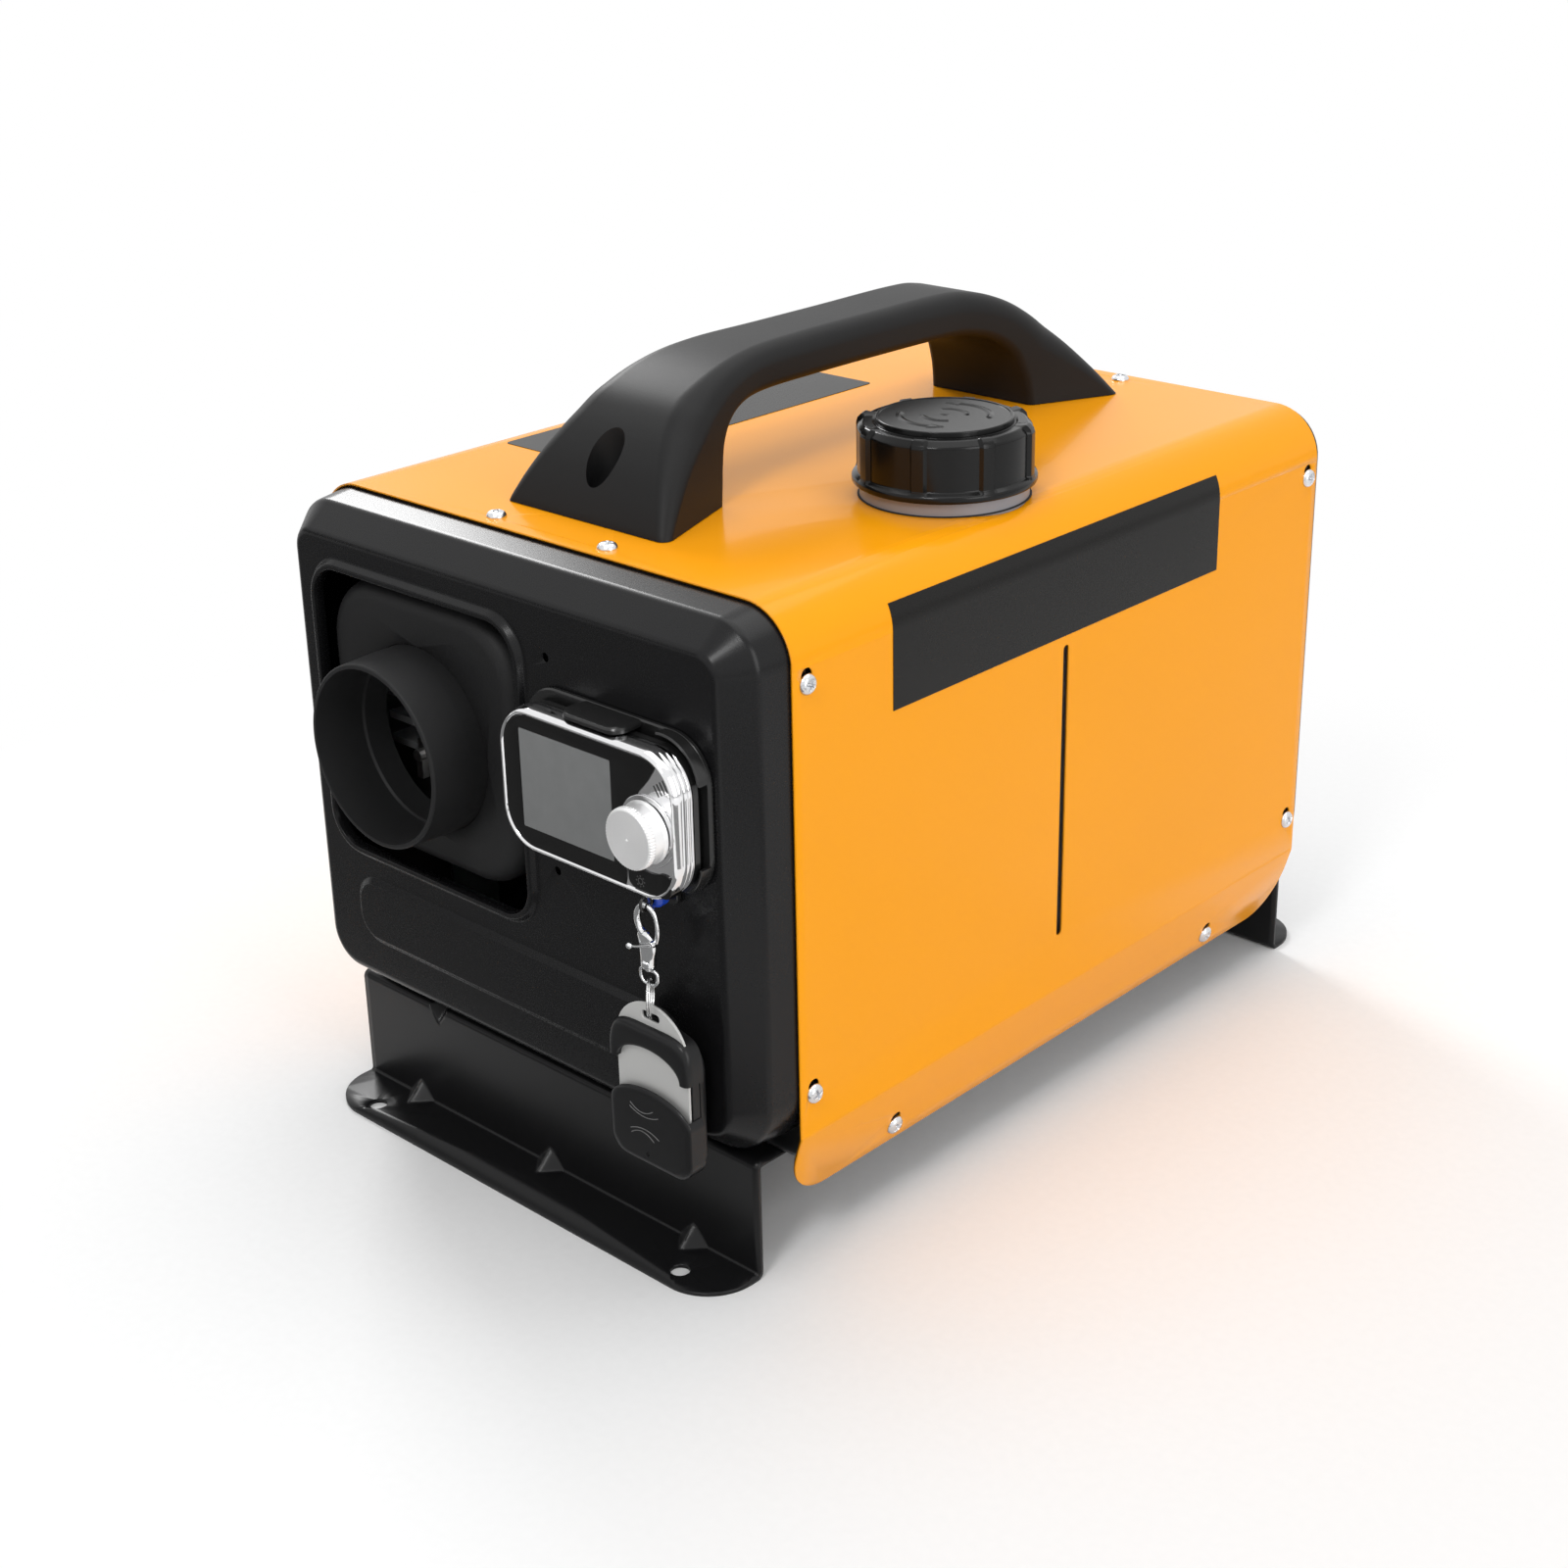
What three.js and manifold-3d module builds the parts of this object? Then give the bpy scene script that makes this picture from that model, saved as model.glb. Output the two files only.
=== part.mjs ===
// A portable diesel air heater: a sheet-metal case with a fuel tank and an air heater inside,
// a carry handle, a controller in a clip and a remote fob hanging from a clasp.
// Millimetres, +Z up, the front faces -Y. Y is counted from the front edge of the orange shell.
import * as THREE from 'three';
import { mergeVertices } from 'three/addons/utils/BufferGeometryUtils.js';
import { ConvexGeometry } from 'three/addons/geometries/ConvexGeometry.js';
import Module from 'manifold-3d';

const wasm = await Module();
wasm.setup();

// ---- clearances and stock ----
const GAP = 0.3;                // between touching pieces
const SHEET = 1.2;              // steel sheet of the shell and covers
const TRAY_SHEET = 1.5;
const BRACKET_SHEET = 2;
const MOULDING = 2.5;           // wall of the plastic mouldings

// ---- shell and covers ----
const CASE_WIDTH = 261;
const CASE_LENGTH = 335.6;
const CASE_TOP = 269.4;         // above the soles of the feet
const CORNER_R = 22;
const TUCK_Z = 61;              // height where the sides bend inwards
const TUCK_IN = 9;
const SKIRT_Z = 30;             // lower edge of the shell
const SKIRT_R = 22;
const TRAY_TOP = 52.8;
const STUD_R = 3;
const STUD_HEIGHT = 7;
const RIM_DEPTH = 8;            // how far a cover slides into the shell
const COVER_BOTTOM_R = 26;
const FRONT_WALL = 13.5;
const FRONT_CHAMFER = 11.5;
const REAR_WALL = 3.5;
const REAR_CHAMFER = 9;
const FRAME_RISE = 2.5;         // raised frame round the duct opening
const FRAME_BAND = 5;
const DUCT_Z = CASE_TOP - 87.5; // axis of the air heater
const DUCT_WINDOW = { x0: -104.6, x1: 14.5, z0: DUCT_Z - 57.9, z1: DUCT_Z + 61.6, r: 14 };
const LONG_PANEL = { x0: -97, x1: 97, z0: 80.5, z1: 111.5, r: 13 };
const PANEL_RISE = 1.5;
const COVER_HOLE_R = 1.9;
const COVER_HOLES = [[30.7, 235.9], [30.5, 150]];
const SCREW_SLOT = { width: 6, below: 2.5, above: 6 };
const SIDE_SCREW_IN = 7;        // from the shell's ends
const SIDE_SCREW_Z = [78.5, CASE_TOP - 28.4];
const SKIRT_SCREW_IN = 60;
const SKIRT_SCREW_Z = 38;
const TOP_SCREW_X = 31;
const TOP_SCREW_IN = 8;
const TOP_SCREW_HOLE_R = 2.2;
const LEVEL_SLOT = { y: 156.5, z0: 86, z1: CASE_TOP - 56.6, width: 3.8 };

// ---- feet ----
const FOOT_HALF = 118;
const FOOT_WALL = 11.65;        // wall of the bracket in front of the shell's edge
const FOOT_REACH = 38;          // tip of the flange in front of the shell's edge
const FOOT_TIP_R = 22;
const FOOT_BEND_R = 3;
const FOOT_SHELF = 34;          // flange under the tray
const FOOT_HOLE = { x: 92.4, y: 29, r: 4 };
const GUSSET = { pitch: 83, half: 7.5, rise: 8, run: 8.5 };
const DIMPLE = { x: 68, half: 5.5, drop: 8 };

// ---- carry handle ----
const HANDLE_FRONT = 24;        // front end of the front foot
const HANDLE_REAR = CASE_LENGTH - 28.6;
const GRIP_FRONT = 73;          // finger gap between the feet
const GRIP_REAR = HANDLE_REAR - 42;
const GRIP_HEIGHT = 37.3;       // underside of the bar above the handle's seat
const HANDLE_EDGE_R = 11;
const HANDLE_WIDEST = 47.5;
// Stations of the handle: distance in from its end, height above its seat and half width.
const HANDLE_FRONT_RUN = [
  [0, 2, 45.5], [6, 11.5, 42.5], [13, 21.5, 39.5], [24, 33.5, 36], [36, 43, 31.5], [56, 50.5, 26],
  [79, 54.5, 21.5], [111, 54.7, 20],
];
const HANDLE_REAR_RUN = [
  [88, 55, 21], [70, 53, 23], [53, 47.5, 26.5], [36, 33.5, 31], [20, 17, 38], [9, 8, 43.5],
  [0, 2, HANDLE_WIDEST],
];
const HANDLE_WELL_R = 7;
const HANDLE_WELL_IN = 13.5;    // from the foot's outer end
const HANDLE_WELL_FLOOR = 4;
const HANDLE_SCREW_R = 2.5;

// ---- tank and filler ----
const TANK = {
  x0: 17, x1: CASE_WIDTH / 2 - 3.5, y0: 14, y1: CASE_LENGTH - 14.6, top: CASE_TOP - 11.4, edge: 16, wall: 3,
};
const FILLER_X = 82;
const FILLER_Y = 140.1;
const NECK_R = 33;
const NECK_COLLAR_TOP = CASE_TOP + 5.3;
const NECK_BORE_R = 28;
const NECK_THREAD_R = 30.9;
const NECK_TOP = CASE_TOP + 22.1;
const SEAL_R = 35.2;
const SEAL_THICK = 1.6;
const GASKET_THICK = 2.5;
const CAP_R = 33.9;
const CAP_BEAD_R = 36.2;
const CAP_RIBS = 8;
const CAP_RIB = { proud: 1.5, width: 5.5 };
const CAP_DISC_R = 26.7;
const CAP_DISC_RISE = 1.5;
const CAP_ROOF = 4.6;
const CAP_GRIP_GAP = 0.5;

// ---- air heater ----
const DUCT_X = -48.7;
const RIM_R = 37.6;             // duct outlet
const RIM_Y = -47.4;
const DUCT_BASE_R = 38.3;
const DUCT_BORE_R = 35.6;
const DUCT_FLANGE_R = 42;
const COWL_Y = -22;
const COWL_HALF = 55.5;
const COWL_Z0 = DUCT_Z - 54.4;
const COWL_Z1 = DUCT_Z + 58.1;
const COWL_R = 28;
const COWL_EDGE = 6;
const DUCT_CASE_END = CASE_LENGTH + 6.4;
const CORE_R = 31;              // heat exchanger
const CORE_FRONT = 2;
const CORE_LENGTH = 168;
const FIN_PITCH = 10.4;
const FIN_THICK = 3;
const FINS = 5;
const CHAMBER_R = 24;
const CHAMBER_WALL = 2.5;
const BURNER_FLANGE = { r: 40, thick: 16 };
const AIR_CUP = { r: 44, wall: 4, length: 30 };
const WHEEL = { r: 34, thick: 13, blades: 10 };
const MOTOR = { r: 26, flange: 4, toFan: 20.1 };
const SHAFT_R = 4;
const FAN = { r: 49, hub: 15, length: 26, blades: 7, rear: CASE_LENGTH - 7.6 };
const SHAFT_REAR = FAN.rear + 5;
const PIPE_R = 12;
const PIPE_BORE = 10.2;
const PIPE_END_Z = 35;
const PIPE_BOSS = 44;           // from the axis down to the boss face
const EXHAUST_Y = 120;
const STAND = { half: 46, foot: 10, length: 24, front: 22, rear: CASE_LENGTH - 65.6 };
const SERVICE = { y0: 100, y1: 222, half: 19.5 };   // opening under the exchanger for the pipes
const BURNER_Y = CORE_FRONT + CORE_LENGTH + 8;      // line of the glow plug and the fuel nipple
const PLUG = { r: 4, hex: 6.5 };
const NIPPLE = { r: 3, z: DUCT_Z - 18.9, reach: 59.5 };
const PUMP = { x: 35.5 - CASE_WIDTH / 2, z: 78, y0: 140, y1: 215, r: 13 };
const LINE_R = 2.6;
const SPIGOT = { y: 240, z: 66, r: 4, reach: 8 };
const BOARD = { x0: -92, x1: -12, y0: 56, y1: 102, thick: 1.6 };
const LOOM_R = 3;
const SENSOR_X = -77;
const SENSOR_Z = DUCT_Z - 22.9;
const GRILLE = { hole: 46, flange: 51, rings: 3, spokes: 5, bar: 2.2, depth: 3 };
const GLAND = { x: 62, z: 84, r: 9 };

// ---- controller ----
const HOLDER_THICK = 2.2;
const CTRL = { x0: 21, x1: 113.5, z0: 165.3, z1: 223, r: 17, back: 4.5, deep: 13.5 };
const FACE_PLATE = { inset: 3.2, recess: 1.8, proud: 0.3, crescent: 19 };
const SCREEN = { x0: 32.8, x1: 80.6, z0: 175.6, z1: 214.2, thick: 1.2 };
const KNOB = { x: 98.7, z: 192.8, r: 11.8, length: 8.5, teeth: 24 };
const KNOB_LIFT = 1.5;
const ENCODER_R = 3;
const BUTTON = { x0: 88, x1: 109.6, z0: 168.6, z1: 178.4, r: 3, proud: 0.6 };

// ---- clasp and remote fob ----
const CHAIN_X = 92.5;
const CHAIN_Y = -38;
const EYE_Z = 161.5;
const EYE_R = 2.8;
const EYE_WIRE = 0.6;
const BAIL = { half: 5, z0: 128.5, z1: 135.7, wire: 1.3 };
const RING = { z: 123.7, r: 7.3, wire: 0.7 };
const FOB_HALF = 21;
const FOB_BOTTOM = 54;
const FOB_TOP = 112;
const FOB_BACK_Y = -29.8;
const FOB_SKIN = 1.5;
const PLATE_THICK = 1;
const LOOP_TOP = 121;
const COVER_ARCH_TOP = 85;
const COVER_SHOULDER = 76;
const FOB_BUTTON = { r: 2.8, dx: 7.5, z: [63, 73] };

// ---- geometry helpers ----
const V2 = (x, y) => new THREE.Vector2(x, y);
const V3 = (x, y, z) => new THREE.Vector3(x, y, z);
const TURN_X = new THREE.Matrix4().makeBasis(V3(0, 1, 0), V3(0, 0, 1), V3(1, 0, 0));
const TURN_Y = new THREE.Matrix4().makeBasis(V3(1, 0, 0), V3(0, 0, 1), V3(0, -1, 0));

// A closed three.js geometry as a solid, its faces turned outwards.
function solid(geometry) {
  const bare = new THREE.BufferGeometry();
  bare.setAttribute('position', geometry.getAttribute('position'));
  bare.setIndex(geometry.getIndex());
  const merged = mergeVertices(bare, 1e-4);
  const at = merged.getAttribute('position');
  const index = merged.getIndex().array;
  const tris = [];
  let volume = 0;
  for (let i = 0; i < index.length; i += 3) {
    const [a, b, c] = [index[i], index[i + 1], index[i + 2]];
    if (a === b || b === c || c === a) continue;
    const [p, q, r] = [a, b, c].map((k) => V3(at.getX(k), at.getY(k), at.getZ(k)));
    volume += p.dot(q.cross(r));
    tris.push(a, b, c);
  }
  if (volume < 0) tris.reverse();
  const vertProperties = new Float32Array(at.array);
  return new wasm.Manifold(new wasm.Mesh({ numProp: 3, vertProperties, triVerts: new Uint32Array(tris) }));
}

const join = (first, ...rest) => rest.reduce((body, next) => body.add(next), first);
const cut = (first, ...rest) => rest.reduce((body, next) => body.subtract(next), first);

// A flat outline swept along one axis: (y, z) along x, (x, z) along y, (x, y) along z.
function sweep(shape, axis, from, to, fine = 2) {
  const geometry = new THREE.ExtrudeGeometry(shape, {
    depth: to - from, bevelEnabled: false, curveSegments: fine,
  });
  if (axis === 'x') geometry.applyMatrix4(TURN_X).translate(from, 0, 0);
  if (axis === 'y') geometry.applyMatrix4(TURN_Y).translate(0, to, 0);
  if (axis === 'z') geometry.translate(0, 0, from);
  return solid(geometry);
}

function box(x0, x1, y0, y1, z0, z1) {
  const geometry = new THREE.BoxGeometry(x1 - x0, y1 - y0, z1 - z0);
  return solid(geometry.translate((x0 + x1) / 2, (y0 + y1) / 2, (z0 + z1) / 2));
}

// A profile of [radius, height] pairs revolved about an upright axis or one along y.
function turned(profile, axis, x, other, sides = 24) {
  const geometry = new THREE.LatheGeometry(profile.map(([r, h]) => V2(r, h)), sides);
  if (axis === 'z') geometry.rotateX(Math.PI / 2).translate(x, other, 0);
  if (axis === 'y') geometry.translate(x, 0, other);
  return solid(geometry);
}

const rod = (axis, x, other, r, from, to, sides = 16) =>
  turned([[0, from], [r, from], [r, to], [0, to]], axis, x, other, sides);

function roundRect(x0, x1, y0, y1, r, Kind = THREE.Shape) {
  const path = new Kind();
  path.moveTo(x0 + r, y0);
  path.lineTo(x1 - r, y0);
  path.absarc(x1 - r, y0 + r, r, -Math.PI / 2, 0);
  path.lineTo(x1, y1 - r);
  path.absarc(x1 - r, y1 - r, r, 0, Math.PI / 2);
  path.lineTo(x0 + r, y1);
  path.absarc(x0 + r, y1 - r, r, Math.PI / 2, Math.PI);
  path.lineTo(x0, y0 + r);
  path.absarc(x0 + r, y0 + r, r, Math.PI, Math.PI * 1.5);
  path.closePath();
  return path;
}

const disc = (x, y, r, Kind = THREE.Shape) => roundRect(x - r, x + r, y - r, y + r, r, Kind);

function withHoles(shape, ...holes) {
  shape.holes.push(...holes);
  return shape;
}

function arc(cx, cy, r, from, to, steps) {
  const at = (i) => from + ((to - from) * i) / steps;
  return Array.from({ length: steps + 1 }, (_, i) => V2(cx + r * Math.cos(at(i)), cy + r * Math.sin(at(i))));
}

// Corner points of an upright rounded rectangle, counted round from the lower right corner.
function ringPoints(x0, x1, z0, z1, rLow, rHigh, steps = 4) {
  const q = Math.PI / 2;
  return [
    ...arc(x1 - rLow, z0 + rLow, rLow, -q, 0, steps),
    ...arc(x1 - rHigh, z1 - rHigh, rHigh, 0, q, steps),
    ...arc(x0 + rHigh, z1 - rHigh, rHigh, q, 2 * q, steps),
    ...arc(x0 + rLow, z0 + rLow, rLow, 2 * q, 3 * q, steps),
  ];
}

// A body through equal rings of points, with flat ends.
function loft(rings) {
  const n = rings[0].length;
  const points = rings.flat();
  const index = [];
  for (let k = 0; k + 1 < rings.length; k += 1) {
    for (let i = 0; i < n; i += 1) {
      const a = k * n + i;
      const b = k * n + ((i + 1) % n);
      index.push(a, b, b + n, a, b + n, a + n);
    }
  }
  const last = (rings.length - 1) * n;
  for (const [start, flip] of [[0, true], [last, false]]) {
    const middle = points.push(rings[start / n].reduce((s, p) => s.add(p), V3(0, 0, 0)).divideScalar(n)) - 1;
    for (let i = 0; i < n; i += 1) {
      const [a, b] = [start + i, start + ((i + 1) % n)];
      index.push(...(flip ? [b, a, middle] : [a, b, middle]));
    }
  }
  const geometry = new THREE.BufferGeometry().setFromPoints(points);
  geometry.setIndex(index);
  return solid(geometry);
}

const upright = (points, y) => points.map((p) => V3(p.x, y, p.y));
const level = (points, z) => points.map((p) => V3(p.x, p.y, z));

// A round line along a smooth curve.
function line(points, r, steps) {
  const extrudePath = new THREE.CatmullRomCurve3(points.map((p) => V3(...p)));
  return solid(new THREE.ExtrudeGeometry(disc(0, 0, r), { steps, extrudePath, curveSegments: 1 }));
}

function hoop(x, y, z, r, wire, turn) {
  const geometry = new THREE.TorusGeometry(r, wire, 6, 16);
  if (turn) geometry.rotateY(Math.PI / 2);
  return solid(geometry.translate(x, y, z));
}

// ---- the object and its finishes ----
const part = new THREE.Group();
const finish = (color, roughness, metalness) =>
  new THREE.MeshStandardMaterial({ color, roughness, metalness });
const ORANGE = finish(0xf0a20f, 0.3, 0.1);
const BLACK_COAT = finish(0x17181b, 0.45, 0.2);
const BLACK_PLASTIC = finish(0x232323, 0.7, 0);
const CAP_BLACK = finish(0x111112, 0.35, 0);
const RUBBER = finish(0x151515, 0.9, 0);
const TANK_GREY = finish(0x8b8a8d, 0.5, 0);
const ALLOY = finish(0xa7a9ac, 0.45, 0.8);
const STEEL = finish(0xb9bec4, 0.35, 0.9);
const CHROME = finish(0xe6e8ea, 0.08, 1);
const SATIN = finish(0xc9c9c9, 0.35, 0.8);
const GLOSS_BLACK = finish(0x050506, 0.1, 0);
const SCREEN_GREY = finish(0x6d6f70, 0.4, 0);
const BOARD_GREEN = finish(0x1f5a37, 0.6, 0);

// Puts a solid into the object under its name.
function put(name, body, material) {
  const { vertProperties, triVerts } = body.getMesh();
  const geometry = new THREE.BufferGeometry();
  geometry.setAttribute('position', new THREE.BufferAttribute(vertProperties, 3));
  geometry.setIndex(new THREE.BufferAttribute(triVerts, 1));
  geometry.computeVertexNormals();
  const mesh = new THREE.Mesh(geometry, material);
  mesh.name = name;
  part.add(mesh);
}

// ---- outer shell ----
const HALF = CASE_WIDTH / 2;
const LEAN = Math.atan2(TUCK_IN, TUCK_Z - SKIRT_Z);
const skirtX = (z, inset) => HALF - (TUCK_Z - z) * Math.tan(LEAN) - inset / Math.cos(LEAN);

function wrapProfile(inset) {
  const half = HALF - inset;
  const r = CORNER_R - inset;
  const right = arc(half - r, CASE_TOP - inset - r, r, Math.PI / 2, 0, 5);
  right.push(V2(half, TUCK_Z + inset * Math.tan(LEAN / 2)), V2(skirtX(SKIRT_Z, inset), SKIRT_Z));
  const left = right.map((p) => V2(-p.x, p.y)).reverse();
  return [...left, ...right];
}

function sideSlots() {
  const { width, below, above } = SCREW_SLOT;
  const ends = [SIDE_SCREW_IN, CASE_LENGTH - SIDE_SCREW_IN];
  const places = ends.flatMap((y) => SIDE_SCREW_Z.map((z) => [y, z]));
  places.push([SKIRT_SCREW_IN, SKIRT_SCREW_Z], [CASE_LENGTH - SKIRT_SCREW_IN, SKIRT_SCREW_Z]);
  return places.map(([y, z]) => sweep(
    roundRect(y - width / 2, y + width / 2, z - below, z + above, width / 2),
    'x', -HALF - 1, HALF + 1, 1,
  ));
}

function topHoles() {
  const ys = [TOP_SCREW_IN, CASE_LENGTH - TOP_SCREW_IN];
  return ys.flatMap((y) => [-TOP_SCREW_X, TOP_SCREW_X].map((x) =>
    rod('z', x, y, TOP_SCREW_HOLE_R, CASE_TOP - 2 * SHEET, CASE_TOP + 1, 8)));
}

function outerShell() {
  const outline = new THREE.Shape([...wrapProfile(0), ...wrapProfile(SHEET).reverse()]);
  const sheet = sweep(outline, 'y', 0, CASE_LENGTH);
  const side = sweep(
    roundRect(0, CASE_LENGTH, SKIRT_Z, CASE_TOP + 2 * SKIRT_R, SKIRT_R), 'x', -HALF - 1, HALF + 1, 2,
  );
  const { y, z0, z1, width } = LEVEL_SLOT;
  const slot = sweep(roundRect(y - width / 2, y + width / 2, z0, z1, width / 2), 'x', 0, HALF + 1, 1);
  const neck = rod('z', FILLER_X, FILLER_Y, NECK_R + GAP, CASE_TOP - 5, CASE_TOP + 5, 28);
  return cut(sheet.intersect(side), slot, neck, ...sideSlots(), ...topHoles(), ...handleHoles());
}

// ---- covers ----
const COVER_HALF = HALF - SHEET - GAP;
const COVER_TOP = CASE_TOP - SHEET - GAP;
const COVER_LOW = TRAY_TOP + GAP;
const COVER_R = CORNER_R - SHEET - GAP;
const FRONT_FACE = -FRONT_WALL - FRONT_CHAMFER;

function coverRing(inset, y) {
  const high = COVER_R - inset > 4 ? COVER_R - inset : 4;
  return upright(ringPoints(
    -COVER_HALF + inset, COVER_HALF - inset, COVER_LOW + inset, COVER_TOP - inset,
    COVER_BOTTOM_R - inset, high,
  ), y);
}

// A pressed pan: side wall, a 45 degree chamfer and a flat face; off is the depth below its surface.
function pan(wall, chamfer, off) {
  const slip = off * (Math.SQRT2 - 1);
  return loft([
    coverRing(chamfer + slip, -wall - chamfer + off),
    coverRing(off, -wall + slip),
    coverRing(off, RIM_DEPTH + off),
  ].reverse());
}

function raised(area, rise, face, off) {
  const slip = off * (Math.SQRT2 - 1);
  const ring = (inset, y) => upright(ringPoints(
    area.x0 + inset, area.x1 - inset, area.z0 + inset, area.z1 - inset, area.r - inset, area.r - inset, 4,
  ), y);
  return loft([ring(slip, face + 1 + off), ring(slip, face + off), ring(rise + slip, face - rise + off)]);
}

function frontPan(off) {
  const { x0, x1, z0, z1, r } = DUCT_WINDOW;
  const band = FRAME_BAND;
  const frame = { x0: x0 - band, x1: x1 + band, z0: z0 - band, z1: z1 + band, r: r + band };
  return join(
    pan(FRONT_WALL, FRONT_CHAMFER, off),
    raised(frame, FRAME_RISE, FRONT_FACE, off),
    raised(LONG_PANEL, PANEL_RISE, FRONT_FACE, off),
  );
}

function frontCover() {
  const { x0, x1, z0, z1, r } = DUCT_WINDOW;
  const window = sweep(roundRect(x0, x1, z0, z1, r), 'y', FRONT_FACE - 9, -1);
  const holes = COVER_HOLES.map(([x, z]) => rod('y', x, z, COVER_HOLE_R, FRONT_FACE - 1, -1, 8));
  return cut(frontPan(0), frontPan(SHEET), window, ...holes);
}

const REAR_FACE = CASE_LENGTH + REAR_WALL + REAR_CHAMFER;

function rearCover() {
  const shape = cut(pan(REAR_WALL, REAR_CHAMFER, 0), pan(REAR_WALL, REAR_CHAMFER, SHEET));
  const turnedRound = turnRound(shape);
  const intake = rod('y', DUCT_X, DUCT_Z, GRILLE.hole, CASE_LENGTH, REAR_FACE + 1, 28);
  const lead = rod('y', GLAND.x, GLAND.z, GLAND.r + GAP, CASE_LENGTH, REAR_FACE + 1);
  return cut(turnedRound, intake, lead);
}

// A half turn about the upright line through the middle of the shell.
function turnRound(body) {
  const { vertProperties, triVerts } = body.getMesh();
  const geometry = new THREE.BufferGeometry();
  geometry.setAttribute('position', new THREE.BufferAttribute(vertProperties, 3));
  geometry.setIndex(new THREE.BufferAttribute(triVerts, 1));
  return solid(geometry.rotateZ(Math.PI).translate(0, CASE_LENGTH, 0));
}

// ---- tray and feet ----
function serviceOpening(z0, z1) {
  const { y0, y1, half } = SERVICE;
  return box(DUCT_X - half, DUCT_X + half, y0, y1, z0, z1);
}

function baseTray() {
  const outer = SHEET + GAP;
  const inner = outer + TRAY_SHEET;
  const under = TRAY_TOP - TRAY_SHEET;
  const foot = SKIRT_Z + 3;
  const right = [
    V2(skirtX(TRAY_TOP, outer), TRAY_TOP), V2(skirtX(foot, outer), foot),
    V2(skirtX(foot, inner), foot), V2(skirtX(under, inner), under),
  ];
  const left = right.map((p) => V2(-p.x, p.y)).reverse();
  const plate = sweep(new THREE.Shape([...right, ...left]), 'y', 2, CASE_LENGTH - 2);
  const studs = [BOARD.x0 + 4, BOARD.x1 - 4].flatMap((x) => [BOARD.y0 + 4, BOARD.y1 - 4].map((y) =>
    rod('z', x, y, STUD_R, TRAY_TOP - 0.5, TRAY_TOP + STUD_HEIGHT, 8)));
  return join(cut(plate, serviceOpening(under - 5, TRAY_TOP + 5)), ...studs);
}

function bracketOutline() {
  const [t, r] = [BRACKET_SHEET, FOOT_BEND_R];
  const top = TRAY_TOP - TRAY_SHEET - GAP;
  const back = t - FOOT_WALL;
  const shelf = back + FOOT_SHELF;
  const q = Math.PI / 2;
  return new THREE.Shape([
    V2(-FOOT_REACH, 0), ...arc(back - r, r, r, -q, 0, 3),
    ...arc(back + r - t, top - r, r - t, 2 * q, q, 2), V2(shelf, top - t), V2(shelf, top),
    ...arc(r - FOOT_WALL, top - r, r, q, 2 * q, 3),
    ...arc(t - r - FOOT_WALL, r, r - t, 0, -q, 2), V2(-FOOT_REACH, t),
  ]);
}

// A pressed gusset across a bend: a three-sided hollow or bump on the line of the bend.
function gusset(x, half, wallPoint, flangePoint, cornerY, cornerZ) {
  return solid(new ConvexGeometry([
    V3(x, ...wallPoint), V3(x, ...flangePoint),
    V3(x - half, cornerY, cornerZ), V3(x + half, cornerY, cornerZ),
  ]));
}

function footBracket() {
  const plan = roundRect(-FOOT_HALF, FOOT_HALF, -FOOT_REACH, FOOT_REACH + 4 * FOOT_TIP_R, FOOT_TIP_R);
  const sheet = sweep(bracketOutline(), 'x', -FOOT_HALF, FOOT_HALF)
    .intersect(sweep(plan, 'z', -1, TRAY_TOP, 2));
  const holes = [-FOOT_HOLE.x, FOOT_HOLE.x].map((x) => rod('z', x, -FOOT_HOLE.y, FOOT_HOLE.r, -1, 9, 12));
  const wall = -FOOT_WALL;
  const floor = BRACKET_SHEET;
  const bumps = [-1, 0, 1].map((k) => gusset(
    k * GUSSET.pitch, GUSSET.half, [wall + 0.5, floor + GUSSET.rise + 0.5],
    [wall - GUSSET.run, floor - 0.5], wall + 0.5, floor - 0.5,
  ));
  const top = TRAY_TOP - TRAY_SHEET - GAP;
  const press = (shift, grow) => [-1, 1].map((k) => gusset(
    k * DIMPLE.x, DIMPLE.half + grow, [wall - 1 + shift, top - DIMPLE.drop - grow],
    [wall + DIMPLE.drop + grow, top + 1 - shift], wall - 1 + shift, top + 1 - shift,
  ));
  return cut(join(sheet, ...bumps, ...press(1.2, 2)), ...holes, ...press(0, 0));
}

// ---- carry handle ----
const HANDLE_SEAT = CASE_TOP + GAP;

function handleSection(y, height, half) {
  const top = HANDLE_SEAT + height;
  const r = Math.min(HANDLE_EDGE_R, height * 0.45);
  return upright([
    V2(half, HANDLE_SEAT), ...arc(half - r, top - r, r, 0, Math.PI / 2, 4),
    ...arc(r - half, top - r, r, Math.PI / 2, Math.PI, 4), V2(-half, HANDLE_SEAT),
  ], y);
}

function fingerGap() {
  const side = new THREE.Shape();
  const low = HANDLE_SEAT - 5;
  const under = HANDLE_SEAT + GRIP_HEIGHT;
  side.moveTo(GRIP_FRONT, low);
  side.lineTo(GRIP_FRONT + 1, under - 22);
  side.quadraticCurveTo(GRIP_FRONT + 3, under - 1, GRIP_FRONT + 30, under);
  side.lineTo(GRIP_REAR - 62, under);
  side.quadraticCurveTo(GRIP_REAR - 6, under - 3, GRIP_REAR - 1, under - 28);
  side.lineTo(GRIP_REAR, low);
  side.closePath();
  return sweep(side, 'x', -HANDLE_WIDEST - 5, HANDLE_WIDEST + 5, 5);
}

const HANDLE_SCREW_Y = [HANDLE_FRONT + HANDLE_WELL_IN, HANDLE_REAR - HANDLE_WELL_IN];

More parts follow.
